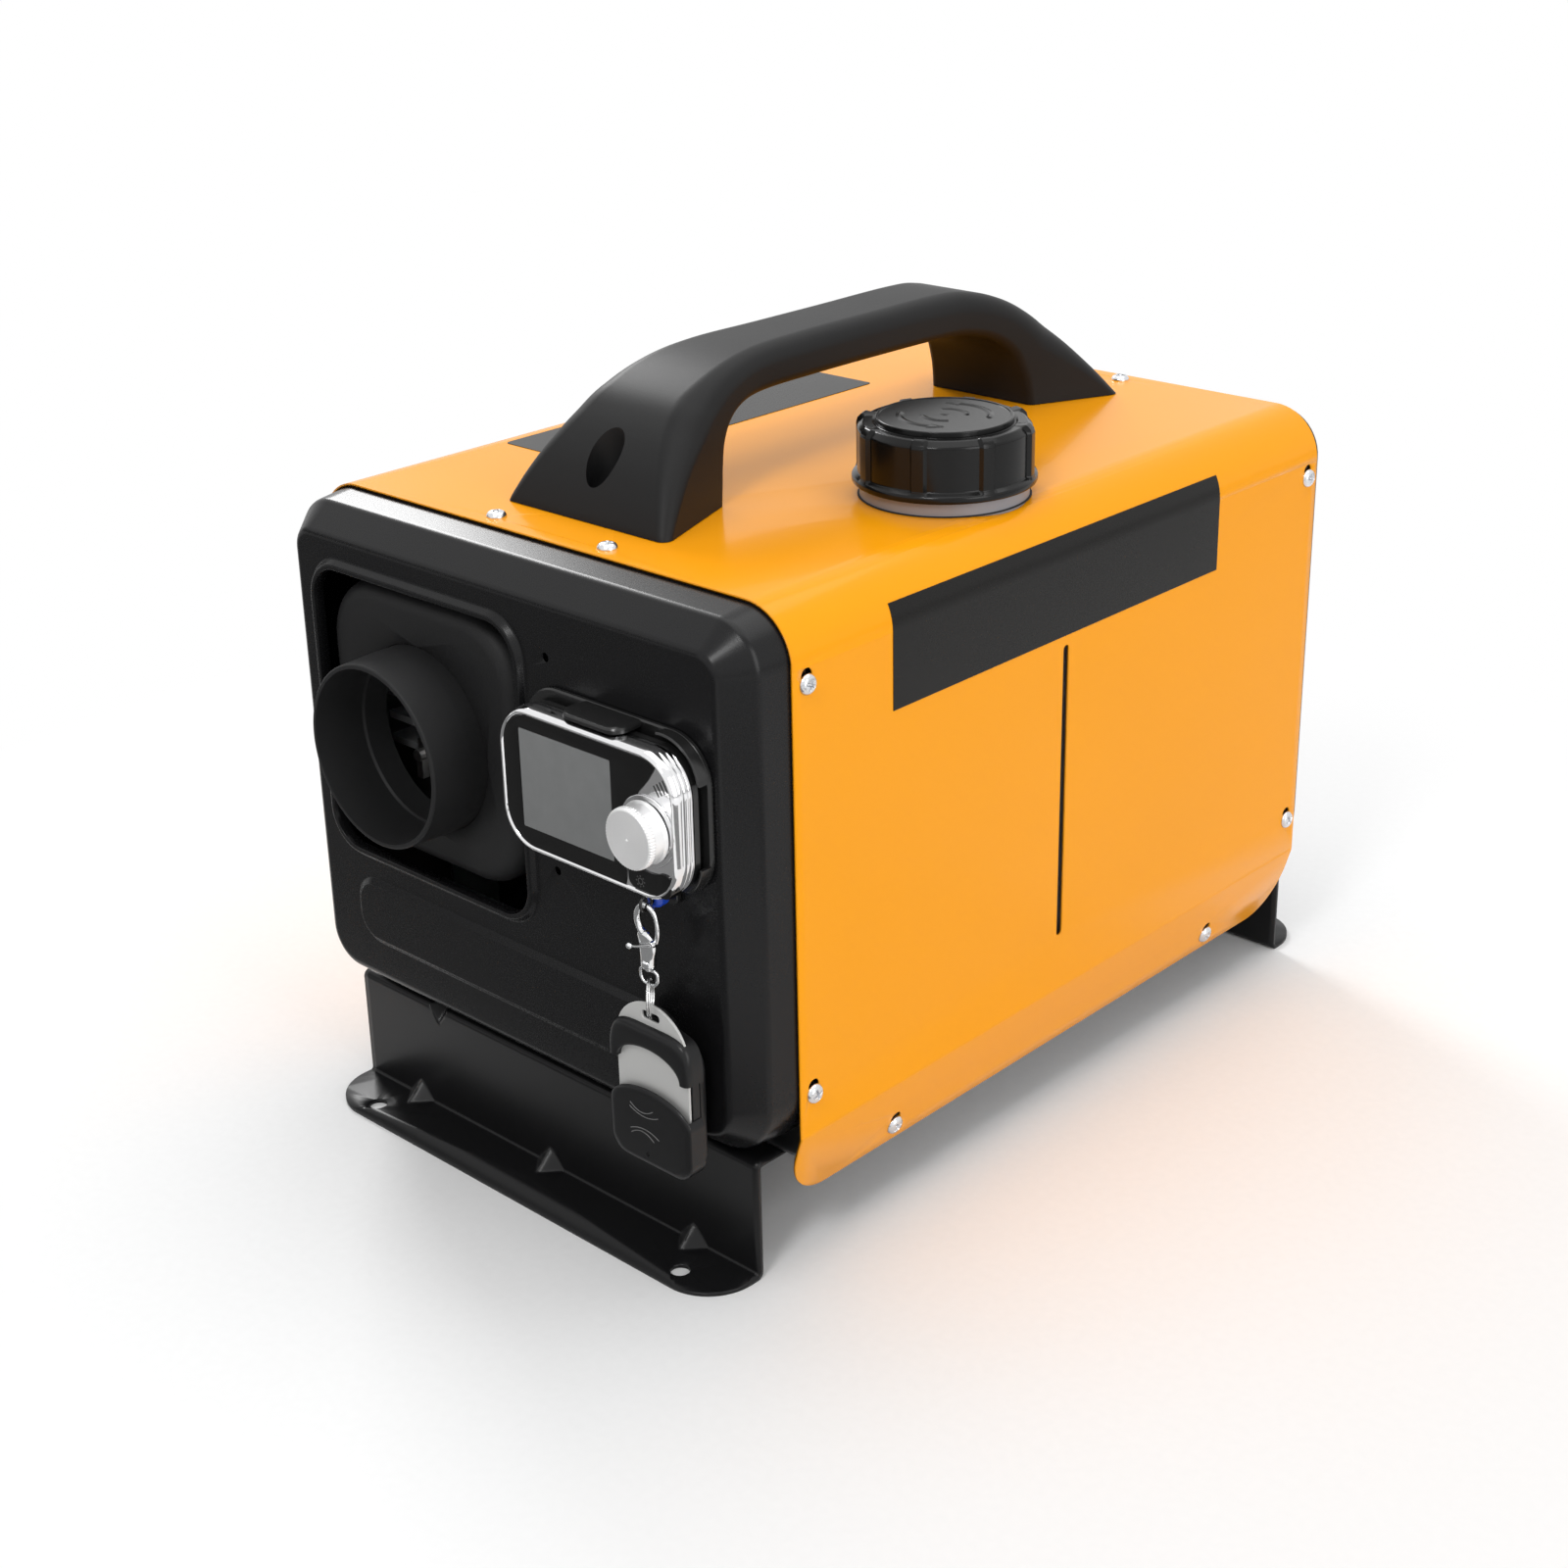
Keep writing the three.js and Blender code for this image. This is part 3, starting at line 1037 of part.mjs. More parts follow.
function controllerFace() {
  const { x0, x1, z0, z1 } = SCREEN;
  const window = box(x0 - GAP, x1 + GAP, FACE_FRONT - 1, FACE_FRONT + SCREEN.thick, z0 - GAP, z1 + GAP);
  return cut(facePlate(0, FACE_FRONT, BEZEL_FRONT + FACE_PLATE.recess), window,
    buttonShape(GAP, FACE_FRONT - 1, BEZEL_FRONT + 9));
}

function controllerScreen() {
  const { x0, x1, z0, z1, thick } = SCREEN;
  return box(x0, x1, FACE_FRONT + 0.05, FACE_FRONT + thick - GAP, z0, z1);
}

const KNOB_BACK = BEZEL_FRONT - KNOB_LIFT;
const KNOB_FRONT = KNOB_BACK - KNOB.length;

function controlKnob() {
  const { x, z, r, teeth } = KNOB;
  const body = turned([
    [0, KNOB_FRONT + 2.6], [r - 0.4, KNOB_FRONT + 2.6], [r - 0.6, KNOB_BACK - 1], [r, KNOB_BACK],
    [0, KNOB_BACK],
  ], 'y', x, z, 16);
  const edge = Array.from({ length: teeth * 2 }, (_, i) => {
    const angle = (i * Math.PI) / teeth;
    const reach = i % 2 ? r - 0.55 : r;
    return V2(x + reach * Math.cos(angle), z + reach * Math.sin(angle));
  });
  const knurl = sweep(new THREE.Shape(edge), 'y', KNOB_FRONT, KNOB_FRONT + 2.8);
  return cut(join(body, knurl), rod('y', x, z, ENCODER_R + GAP, KNOB_FRONT + 1.2, KNOB_BACK + 1));
}

// ---- clasp ----
const onChain = (u, z) => V2(CHAIN_X + u, z);
const chainSweep = (points, half) => sweep(new THREE.Shape(points), 'y', CHAIN_Y - half, CHAIN_Y + half);

function ellipse(z, a, b, steps) {
  return arc(0, 0, 1, 0, 2 * Math.PI, steps).slice(0, -1).map((p) => onChain(p.x * a, z + p.y * b));
}

function claspBody() {
  const loop = cut(chainSweep(ellipse(154.7, 5.2, 7, 24), 1.1), chainSweep(ellipse(154.9, 3.1, 4.9, 16), 3));
  const body = chainSweep([
    onChain(-4.2, 150.5), onChain(-3.6, 145), onChain(-2.8, 140), onChain(2.8, 140), onChain(3.4, 145),
    onChain(3.8, 149.5), onChain(0, 149.2),
  ], 1.5);
  const mouth = box(CHAIN_X + 1.6, CHAIN_X + 9, CHAIN_Y - 4, CHAIN_Y + 4, 145.2, 158.2);
  const collar = rod('z', CHAIN_X, CHAIN_Y, 2.8, 136, 140.3, 12);
  const socket = rod('z', CHAIN_X, CHAIN_Y, 1.6, 135, 139.4, 10);
  return cut(join(loop, body, collar), mouth, socket);
}

const GATE_X = CHAIN_X + 3.9;
const GATE_Z = 147;

function claspGate() {
  const tongue = chainSweep([
    onChain(2.6, 146.2), onChain(3.4, 145.5), onChain(4.8, 145.9), onChain(5.2, 152), onChain(4.5, 157.8),
    onChain(3.3, 157.8), onChain(3.7, 152),
  ], 1.1);
  const boss = rod('y', GATE_X, GATE_Z, 1.2, CHAIN_Y - 2.7, CHAIN_Y, 12);
  const lever = sweep(new THREE.Shape([
    onChain(4.4, 146), onChain(4.6, 148), onChain(-6.8, 143.9), onChain(-6.8, 142.6),
  ]), 'y', CHAIN_Y - 2.7, CHAIN_Y - 1.8);
  const thumb = solid(new THREE.SphereGeometry(1.3, 8, 6).translate(CHAIN_X - 7.3, CHAIN_Y - 2.2, 143.1));
  return join(tongue, boss, lever, thumb);
}

function claspSwivel() {
  const { half, z0, z1, wire } = BAIL;
  const frame = withHoles(
    roundRect(CHAIN_X - half, CHAIN_X + half, z0, z1, 2.5),
    roundRect(CHAIN_X - half + wire, CHAIN_X + half - wire, z0 + wire, z1 - wire, 1.4, THREE.Path),
  );
  const pin = rod('z', CHAIN_X, CHAIN_Y, 1.3, z1 - 0.5, 139, 10);
  return join(sweep(frame, 'y', CHAIN_Y - wire / 2, CHAIN_Y + wire / 2), pin);
}

// ---- remote fob ----
// An outline with rounded lower corners and an arched top.
function arched(half, z0, shoulder, top, r) {
  const shape = new THREE.Shape();
  shape.moveTo(CHAIN_X - half + r, z0);
  shape.lineTo(CHAIN_X + half - r, z0);
  shape.absarc(CHAIN_X + half - r, z0 + r, r, -Math.PI / 2, 0);
  shape.lineTo(CHAIN_X + half, shoulder);
  shape.absellipse(CHAIN_X, shoulder, half, top - shoulder, 0, Math.PI);
  shape.lineTo(CHAIN_X - half, z0 + r);
  shape.absarc(CHAIN_X - half + r, z0 + r, r, Math.PI, Math.PI * 1.5);
  return shape;
}

const CASE_HALF = FOB_HALF - FOB_SKIN - GAP;
const PLATE_BACK = CHAIN_Y + PLATE_THICK / 2;
const PLATE_FRONT = CHAIN_Y - PLATE_THICK / 2;
const FOB_FRONT_BACK = PLATE_FRONT - GAP;
const HOOD_FRONT = FOB_FRONT_BACK - 2.4;
const SLIDE_INNER = FOB_FRONT_BACK - 1.4;
const SLIDE_FRONT = SLIDE_INNER - FOB_SKIN;
const CASE_BOTTOM = FOB_BOTTOM + FOB_SKIN + GAP;
const WRAP_Y = FOB_BACK_Y - 3.5;

const fobPlaces = FOB_BUTTON.z.flatMap((z) => [-1, 1].map((side) => [CHAIN_X + side * FOB_BUTTON.dx, z]));

function fobCase() {
  const back = sweep(arched(CASE_HALF, CASE_BOTTOM, 98, FOB_TOP - 1, 7), 'y', PLATE_BACK + GAP, FOB_BACK_Y);
  const pockets = fobPlaces.map(([x, z]) =>
    rod('y', x, z, FOB_BUTTON.r + GAP, PLATE_BACK - 1, PLATE_BACK + GAP + 1.6, 12));
  return cut(back, ...pockets);
}

function fobPlate() {
  const outline = arched(CASE_HALF - 0.6, CASE_BOTTOM + 2, 103, LOOP_TOP, 6);
  outline.holes.push(roundRect(CHAIN_X - 4.5, CHAIN_X + 4.5, 114.3, 117.5, 1.2, THREE.Path));
  const holes = fobPlaces.map(([x, z]) =>
    rod('y', x, z, FOB_BUTTON.r + GAP, PLATE_FRONT - 1, PLATE_BACK + 1, 12));
  return cut(sweep(outline, 'y', PLATE_FRONT, PLATE_BACK), ...holes);
}

function fobHood() {
  const band = sweep(arched(FOB_HALF, 80, 98, FOB_TOP, 2), 'y', HOOD_FRONT, FOB_FRONT_BACK, 5);
  const opening = sweep(arched(FOB_HALF - 5, 70, 91, 103, 2), 'y', HOOD_FRONT - 1, FOB_FRONT_BACK + 1, 5);
  const skirt = (side) => {
    const [a, b] = [side * FOB_HALF, side * (FOB_HALF - FOB_SKIN)].sort((p, q) => p - q);
    return box(CHAIN_X + a, CHAIN_X + b, FOB_FRONT_BACK - 0.5, WRAP_Y, 88, 98);
  };
  const below = box(CHAIN_X - 40, CHAIN_X + 40, HOOD_FRONT - 1, FOB_FRONT_BACK + 1, 60, 88);
  return join(cut(band, opening, below), skirt(-1), skirt(1));
}

function fobCover() {
  const outline = arched(FOB_HALF, FOB_BOTTOM, COVER_SHOULDER, COVER_ARCH_TOP, 8);
  const body = sweep(outline, 'y', SLIDE_FRONT, WRAP_Y, 5);
  const room = sweep(
    roundRect(CHAIN_X - CASE_HALF - GAP, CHAIN_X + CASE_HALF + GAP, CASE_BOTTOM - GAP, 130, 7), 'y',
    SLIDE_INNER, WRAP_Y + 9, 3,
  );
  return cut(body, room);
}

function fobButton([x, z]) {
  return rod('y', x, z, FOB_BUTTON.r, SLIDE_INNER + GAP + 0.2, PLATE_BACK + GAP + 0.7, 12);
}

// ---- assembly ----
put('outer_shell', outerShell(), ORANGE);
put('front_cover', frontCover(), BLACK_COAT);
put('rear_cover', rearCover(), BLACK_COAT);
put('base_tray', baseTray(), STEEL);
put('front_foot', footBracket(), BLACK_COAT);
put('rear_foot', turnRound(footBracket()), BLACK_COAT);
put('carry_handle', carryHandle(), BLACK_PLASTIC);
put('handle_screw_front', handleScrew(HANDLE_SCREW_Y[0]), STEEL);
put('handle_screw_rear', handleScrew(HANDLE_SCREW_Y[1]), STEEL);
put('fuel_tank', fuelTank(), TANK_GREY);
put('neck_seal', neckSeal(), RUBBER);
put('filler_cap', fillerCap(), CAP_BLACK);
put('cap_gasket', capGasket(), RUBBER);
put('duct_outlet', ductOutlet(), BLACK_PLASTIC);
put('heater_cowl', heaterCowl(), BLACK_PLASTIC);
put('heater_case_lower', heaterCaseLower(), BLACK_PLASTIC);
put('heater_case_upper', heaterCaseHalf(SPLIT_Z + GAP / 2, COWL_Z1 + 1), BLACK_PLASTIC);
put('heat_exchanger', heatExchanger(), ALLOY);
put('combustion_chamber', combustionChamber(), STEEL);
put('glow_plug', glowPlug(), STEEL);
put('combustion_air_cup', airCup(), ALLOY);
put('combustion_air_wheel', airWheel(), ALLOY);
put('blower_motor', blowerMotor(), STEEL);
put('motor_shaft', rod('y', DUCT_X, DUCT_Z, SHAFT_R, CUP_FRONT + 8, SHAFT_REAR, 16), STEEL);
put('hot_air_fan', hotAirFan(), BLACK_PLASTIC);
put('heater_stand_front', heaterStand(STAND.front), STEEL);
put('heater_stand_rear', heaterStand(STAND.rear), STEEL);
put('exhaust_pipe', gasPipe(EXHAUST_Y), STEEL);
put('air_intake_pipe', gasPipe(INTAKE_Y), BLACK_PLASTIC);
put('fuel_pump', fuelPump(), STEEL);
put('pump_clamp', pumpClamp(), RUBBER);
put('fuel_supply_line', supplyLine(), RUBBER);
put('fuel_feed_line', feedLine(), RUBBER);
put('control_board', controlBoard(), BOARD_GREEN);
put('wiring_loom', wiringLoom(), RUBBER);
put('overheat_sensor', overheatSensor(), STEEL);
put('intake_grille', intakeGrille(), BLACK_PLASTIC);
put('power_gland', powerGland(), BLACK_PLASTIC);
put('controller_holder', controllerHolder(), BLACK_PLASTIC);
put('controller_back', controllerBack(), BLACK_PLASTIC);
put('controller_bezel', controllerBezel(), CHROME);
put('controller_face', controllerFace(), GLOSS_BLACK);
put('controller_screen', controllerScreen(), SCREEN_GREY);
put('encoder_shaft', rod('y', KNOB.x, KNOB.z, ENCODER_R, KNOB_FRONT + 1.5, BEZEL_BACK - 1.2, 12), STEEL);
put('control_knob', controlKnob(), CHROME);
put('power_button', buttonShape(0, BEZEL_FRONT - BUTTON.proud, BUTTON_BACK), GLOSS_BLACK);
put('clasp_body', claspBody(), CHROME);
put('clasp_gate', claspGate(), CHROME);
put('clasp_swivel', claspSwivel(), CHROME);
put('split_ring', hoop(CHAIN_X, CHAIN_Y, RING.z, RING.r, RING.wire, true), STEEL);
put('fob_case', fobCase(), CAP_BLACK);
put('fob_plate', fobPlate(), SATIN);
put('fob_hood', fobHood(), CAP_BLACK);
put('fob_cover', fobCover(), CAP_BLACK);
fobPlaces.forEach((place, k) => put(`fob_button_${k + 1}`, fobButton(place), RUBBER));

// The origin lies on the floor under the middle of the whole object.
const FRONTMOST = Math.min(KNOB_FRONT, RIM_Y, SLIDE_FRONT, -FOOT_REACH);
const REARMOST = Math.max(CASE_LENGTH + FOOT_REACH, REAR_FACE + GAP + 15);
part.position.y = -(FRONTMOST + REARMOST) / 2;

export default part;
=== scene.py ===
"""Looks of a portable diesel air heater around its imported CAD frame, laid out as an add-on.

Lengths inside the functions are millimetres, with y counted from the front edge of the orange
shell as in the part's source, and metres() turns them into the frame's metres.
"""

import math

import bmesh
import bpy
import numpy as np
from mathutils import Matrix, Vector
from mathutils.geometry import delaunay_2d_cdt


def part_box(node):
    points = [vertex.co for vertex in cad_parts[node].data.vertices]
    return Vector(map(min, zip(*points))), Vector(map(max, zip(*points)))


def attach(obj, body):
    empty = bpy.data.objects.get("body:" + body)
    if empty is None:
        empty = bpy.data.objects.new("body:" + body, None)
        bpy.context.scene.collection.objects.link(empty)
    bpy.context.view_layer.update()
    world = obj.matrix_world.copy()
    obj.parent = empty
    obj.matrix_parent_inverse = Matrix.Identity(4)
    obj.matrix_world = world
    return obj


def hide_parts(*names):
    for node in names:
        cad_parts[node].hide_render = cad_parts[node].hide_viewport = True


bl_info = {
    "name": "Diesel air heater",
    "version": (1, 0, 0),
    "blender": (4, 5, 0),
    "location": "3D View > Sidebar > Heater",
    "description": "Builds the visible surfaces of a portable diesel air heater",
    "category": "Object",
}

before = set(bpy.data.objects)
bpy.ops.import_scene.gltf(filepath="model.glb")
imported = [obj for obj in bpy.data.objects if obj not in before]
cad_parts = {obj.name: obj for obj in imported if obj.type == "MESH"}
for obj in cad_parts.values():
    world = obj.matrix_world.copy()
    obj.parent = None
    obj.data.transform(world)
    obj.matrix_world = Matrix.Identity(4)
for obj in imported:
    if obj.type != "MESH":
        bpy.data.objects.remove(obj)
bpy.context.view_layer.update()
FRONT_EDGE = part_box("outer_shell")[0].y

MILLIMETRE = 0.001
CREASE = 32.0  # degrees between two faces from which their edge is sharp
DOUBLES, SLIVERS = 4e-6, 1e-6  # metres under which points and edges are merged

# The case, as in the part's source: half its width, its length and its height; the height where
# the sides tuck in, how far they go in and where they end; and the depths of the covers' faces.
HALF, LENGTH, TOP = 130.5, 335.6, 269.4
TUCK_Z, TUCK_IN, SKIRT_Z = 61.0, 9.0, 30.0
LEAN = math.atan2(TUCK_IN, TUCK_Z - SKIRT_Z)
FRONT_FACE, REAR_FACE = -25.0, 348.1
# Outlines of the pressings, as (x0, x1, z0, z1, low corner radius, high corner radius).
COVER_RECT = (-129, 129, 53.1, 267.9, 26, 20.5)
FRAME_RECT = (-109.6, 19.5, 119, 248.5, 19, 19)
PANEL_RECT = (-97, 97, 80.5, 111.5, 13, 13)
BEZEL_RECT = (21, 113.5, 165.3, 223, 17, 17)
# Axes: duct, knob and lead gland as (x, z), filler and the fob's chain as (x, y).
DUCT = (-48.7, 181.9)
KNOB = (98.7, 192.8)
GLAND = (62.0, 84.0)
FILLER = (82.0, 140.1)
CHAIN = (92.5, -38.0)
# Places of the screws: y along the case, z on the sides and on the skirts, x on the top.
END_SCREWS_Y, TOP_SCREWS_Y = (7, LENGTH - 7), (8, LENGTH - 8)
SKIRT_SCREWS_Y, SKIRT_SCREWS_Z = (60, LENGTH - 60), 38
SIDE_SCREWS_Z, TOP_SCREW_X = (78.5, 241), 31
HANDLE_SCREWS_Y = (37.5, 293.5)
FOB_PLACES = [(CHAIN[0] + dx, z) for z in (63, 73) for dx in (-7.5, 7.5)]


# ---------------------------------------------------------------- shapes
def metres(points):
    """Millimetres counted from the shell's front edge, as metres in the frame."""
    moved = np.array(points, float) * MILLIMETRE
    moved[..., 1] += FRONT_EDGE
    return moved


def at_y(flat, y):
    """A flat (x, z) shape stood up at depth y."""
    return np.stack(np.broadcast_arrays(flat[..., 0], y, flat[..., 1]), -1)


def at_z(flat, z):
    """A flat (x, y) shape laid at height z."""
    return np.stack(np.broadcast_arrays(flat[..., 0], flat[..., 1], z), -1)


def unit(vectors):
    """The vectors divided by their lengths."""
    return vectors / np.maximum(np.linalg.norm(vectors, axis=-1, keepdims=True), 1e-12)


def fillet(corners, radii, steps=8):
    """Closed outlines with round corners, as (k, n * (steps + 1), 2) from corners (k, n, 2).

    With unit directions e1 and e2 from corner P to its neighbours and the angle a between them,
    the arc starts r / tan(a / 2) along e1 and turns about P + unit(e1 + e2) * r / sin(a / 2).
    """
    p = np.asarray(corners, float)
    p = p if p.ndim == 3 else p[None]
    r = np.broadcast_to(np.asarray(radii, float), p.shape[:2])[..., None]
    e1, e2 = unit(np.roll(p, 1, 1) - p), unit(np.roll(p, -1, 1) - p)
    half = np.arccos(np.clip((e1 * e2).sum(-1, keepdims=True), -1, 1)) / 2
    half = np.clip(half, 0.01, math.pi / 2 - 1e-4)
    middle = p + unit(e1 + e2) * r / np.sin(half)
    start, end = p + e1 * r / np.tan(half) - middle, p + e2 * r / np.tan(half) - middle
    turn = (math.pi - 2 * half)[..., None]
    t = np.linspace(0, 1, steps + 1)[:, None]
    arcs = np.sin((1 - t) * turn) * start[..., None, :] + np.sin(t * turn) * end[..., None, :]
    arcs = middle[..., None, :] + arcs / np.sin(turn)
    return arcs.reshape(p.shape[0], -1, 2)


def soft(points, radii, steps=5):
    """An open line of points with its inner corners rounded; a radius of 0 keeps one sharp."""
    arcs = fillet(points, radii, steps)[0].reshape(len(points), steps + 1, 2)
    return np.concatenate([a if r else a[:1] for a, r in zip(arcs, radii)])


def rounded(x0, x1, z0, z1, low, high=None, steps=10):
    """Outline of a rounded rectangle, anticlockwise from its lower right corner."""
    high = low if high is None else high
    corners = [(x1, z0), (x1, z1), (x0, z1), (x0, z0)]
    return fillet(corners, [low, high, high, low], steps)[0]


def bulge(values, power):
    """The sign of each value times its size to a power: below 1 it squares a circle off."""
    return np.sign(values) * np.abs(values) ** power


def circle(x, z, r, steps=48):
    """Outline of a circle."""
    t = np.linspace(0, 2 * math.pi, steps, endpoint=False)
    return np.stack([x + r * np.cos(t), z + r * np.sin(t)], -1)


def bow(x, z, a, b, start, end, steps=24):
    """Points of an ellipse's arc between two angles in degrees."""
    t = np.radians(np.linspace(start, end, steps))
    return np.stack([x + a * np.cos(t), z + b * np.sin(t)], -1)


def arched(half, z0, shoulder, top, r, steps=8):
    """Outline on the chain's axis with round lower corners and an elliptical top."""
    x = CHAIN[0]
    return np.concatenate([
        bow(x + half - r, z0 + r, r, r, -90, 0, steps),
        bow(x, shoulder, half, top - shoulder, 0, 180, 4 * steps),
        bow(x - half + r, z0 + r, r, r, 180, 270, steps),
    ])


def offset(loop, distance):
    """The loop drawn in: a point moves by (n1 + n2) / (1 + n1.n2), its edges' inward normals."""
    edge = unit(np.roll(loop, -1, 0) - loop)
    x, z = loop.T
    way = np.sign((x * np.roll(z, -1) - np.roll(x, -1) * z).sum())
    normal = np.stack([-edge[:, 1], edge[:, 0]], -1) * way
    mean = normal + np.roll(normal, 1, 0)
    return loop + distance * mean / np.maximum((mean**2).sum(1, keepdims=True) / 2, 0.4)


def inside(points, loop):
    """Which points lie in a loop, by counting the edges that a ray to the right crosses."""
    a, b = loop, np.roll(loop, -1, 0)
    x, z = points[:, :1], points[:, 1:]
    spans = (a[:, 1] > z) != (b[:, 1] > z)
    rise = np.where(b[:, 1] == a[:, 1], 1e-12, b[:, 1] - a[:, 1])
    cross = a[:, 0] + (z - a[:, 1]) * (b[:, 0] - a[:, 0]) / rise
    return (spans & (x < cross)).sum(1) % 2 == 1


def triangulate(loops, lines=(), dots=()):
    """Flat points and triangles that fill the first loop, less the others, along the lines."""
    points, edges, count = [], [], 0
    for shape, closed in [(x, True) for x in loops] + [(x, False) for x in lines]:
        n = len(shape)
        i = np.arange(n if closed else n - 1)
        edges.append(np.stack([i, (i + 1) % n], 1) + count)
        points.append(shape)
        count += n
    points += [np.asarray(d, float) for d in dots]
    places, joins = [Vector(p) for p in np.concatenate(points)], np.concatenate(edges).tolist()
    made = delaunay_2d_cdt(places, joins, [], 0, 1e-5, False)
    flat, tris = np.array([tuple(v) for v in made[0]]), np.array(made[2])
    middle = flat[tris].mean(1)
    keep = inside(middle, loops[0])
    for loop in loops[1:]:
        keep &= ~inside(middle, loop)
    return flat, tris[keep]


class Surface:
    """Vertices and faces of one piece, gathered from grids, patches, turned and flat bodies."""

    def __init__(self):
        self.points, self.faces, self.count = [], [], 0

    def add(self, points, faces):
        """Joins points and the faces between them to what is there."""
        points = np.asarray(points, float).reshape(-1, 3)
        self.points.append(points)
        self.faces += (np.asarray(faces) + self.count).tolist()
        self.count += len(points)
        return self

    def grid(self, points, closed_u=False, closed_v=True):
        """Quads over points (u, v, 3); a closed direction joins its last row to its first."""
        nu, nv = points.shape[:2]
        i = np.arange(nu if closed_u else nu - 1)[:, None]
        j = np.arange(nv if closed_v else nv - 1)[None, :]
        i2, j2 = (i + 1) % nu, (j + 1) % nv
        quads = [i * nv + j, i2 * nv + j, i2 * nv + j2, i * nv + j2]
        return self.add(points, np.stack(np.broadcast_arrays(*quads), -1).reshape(-1, 4))

    def patch(self, loops, put, lines=(), dots=()):
        """A flat area with holes, put into space by put(flat)."""
        flat, tris = triangulate(loops, lines, dots)
        return self.add(put(flat), tris)

    def plate(self, loops, profile, put=at_y):
        """A flat body: each level of the profile draws the outline in (and the holes out) by
        its inset, at its depth, and the first and last levels are closed."""
        levels = np.asarray(profile, float)
        rings = [
            np.stack([offset(loop, d if k == 0 else -d) for d in levels[:, 0]])
            for k, loop in enumerate(loops)
        ]
        for ring in rings:
            self.grid(put(ring, levels[:, 1][:, None]))
        for end in (0, -1):
            self.patch([ring[end] for ring in rings], lambda flat: put(flat, levels[end, 1]))
        return self

    def pan(self, rect, profile, steps=10):
        """A profile of (inset, y) carried round the rectangle (x0, x1, z0, z1, low r, high r)."""
        x0, x1, z0, z1, low, high = rect
        d, y = np.asarray(profile, float).T
        sides = [(x1 - d, z0 + d), (x1 - d, z1 - d), (x0 + d, z1 - d), (x0 + d, z0 + d)]
        corners = np.stack([np.stack(side, -1) for side in sides], 1)
        radii = np.maximum(np.stack([low - d, high - d, high - d, low - d], 1), 0.5)
        loops = fillet(corners, radii, steps)
        self.grid(at_y(loops, y[:, None]))
        return loops

    def turned(self, profile, centre, put=at_y, steps=96, swell=0.0, lift=0.0):
        """A profile of (radius, height) turned about centre: a = ca + r cos t, b = cb + r sin t.
        swell and lift are added to each radius and height, as arrays (profile, angle)."""
        profile = np.asarray(profile, float)
        t = np.linspace(0, 2 * math.pi, steps, endpoint=False)
        r = profile[:, :1] + swell
        flat = np.stack([centre[0] + r * np.cos(t), centre[1] + r * np.sin(t)], -1)
        return self.grid(put(flat, profile[:, 1:] + lift + 0 * t))

    def tube(self, path, radius, normal, sides=12, closed=False):
        """A wire of circles across a path: p + r (cos t side + sin t up), its ends closed."""
        path = np.asarray(path, float)
        r = np.broadcast_to(np.asarray(radius, float), len(path)).copy()
        if closed:
            along = np.roll(path, -1, 0) - np.roll(path, 1, 0)
        else:
            along = np.gradient(path, axis=0)
            path, along = path[[0, *range(len(path)), -1]], along[[0, *range(len(path)), -1]]
            r = np.concatenate([[0], r, [0]])
        side = unit(np.cross(along, normal))
        up = unit(np.cross(side, along))
        t = np.linspace(0, 2 * math.pi, sides, endpoint=False)[:, None]
        spoke = np.cos(t) * side[:, None, :] + np.sin(t) * up[:, None, :]
        return self.grid(path[:, None, :] + r[:, None, None] * spoke, closed_u=closed)


def smooth_line(points, fine=6):
    """A Catmull-Rom curve through points of any width, with fine steps between two of them."""
    p = np.asarray(points, float)
    p = np.concatenate([2 * p[:1] - p[1:2], p, 2 * p[-1:] - p[-2:-1]])
    t = np.linspace(0, 1, fine, endpoint=False)[:, None]
    a, b, c, d = (p[k: len(p) - 3 + k, None, :] for k in range(4))
    curve = 0.5 * (2 * b + (c - a) * t + (2 * a - 5 * b + 4 * c - d) * t**2
                   + (3 * b - a - 3 * c + d) * t**3)
    return np.concatenate([curve.reshape(-1, p.shape[1]), p[-2:-1]])


def make_mesh(name, surface, facing=None, crease=CREASE):
    """A mesh of the surface: doubles merged, faces outward, smooth but for sharp creases."""
    mesh = bpy.data.meshes.new(name)
    mesh.from_pydata(metres(np.concatenate(surface.points)).tolist(), [], surface.faces)
    work = bmesh.new()
    work.from_mesh(mesh)
    bmesh.ops.remove_doubles(work, verts=work.verts, dist=DOUBLES)
    bmesh.ops.dissolve_degenerate(work, edges=work.edges, dist=SLIVERS)
    bmesh.ops.recalc_face_normals(work, faces=work.faces)
    if facing is not None:
        total = sum((f.normal * f.calc_area() for f in work.faces), Vector())
        if total.dot(Vector(facing)) < 0:
            bmesh.ops.reverse_faces(work, faces=work.faces)
    work.to_mesh(mesh)
    work.free()
    mesh.polygons.foreach_set("use_smooth", np.ones(len(mesh.polygons), bool))
    mesh.set_sharp_from_angle(angle=math.radians(crease))
    return mesh


def add_piece(name, surface, finish, body, replaces=(), facing=None, wall=0.0,
              crease=CREASE):
    """A named piece on its body, in its finish and in place of the CAD nodes it stands for."""
    mesh = make_mesh(name, surface, facing, crease)
    mesh.materials.append(finish_of(finish))
    piece = bpy.data.objects.new(name, mesh)
    bpy.context.scene.collection.objects.link(piece)
    if wall:
        sheet = piece.modifiers.new("Wall", "SOLIDIFY")
        sheet.thickness, sheet.offset = wall * MILLIMETRE, -1.0
    even_shading(piece)
    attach(piece, body)
    if replaces:
        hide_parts(*replaces)
    return piece


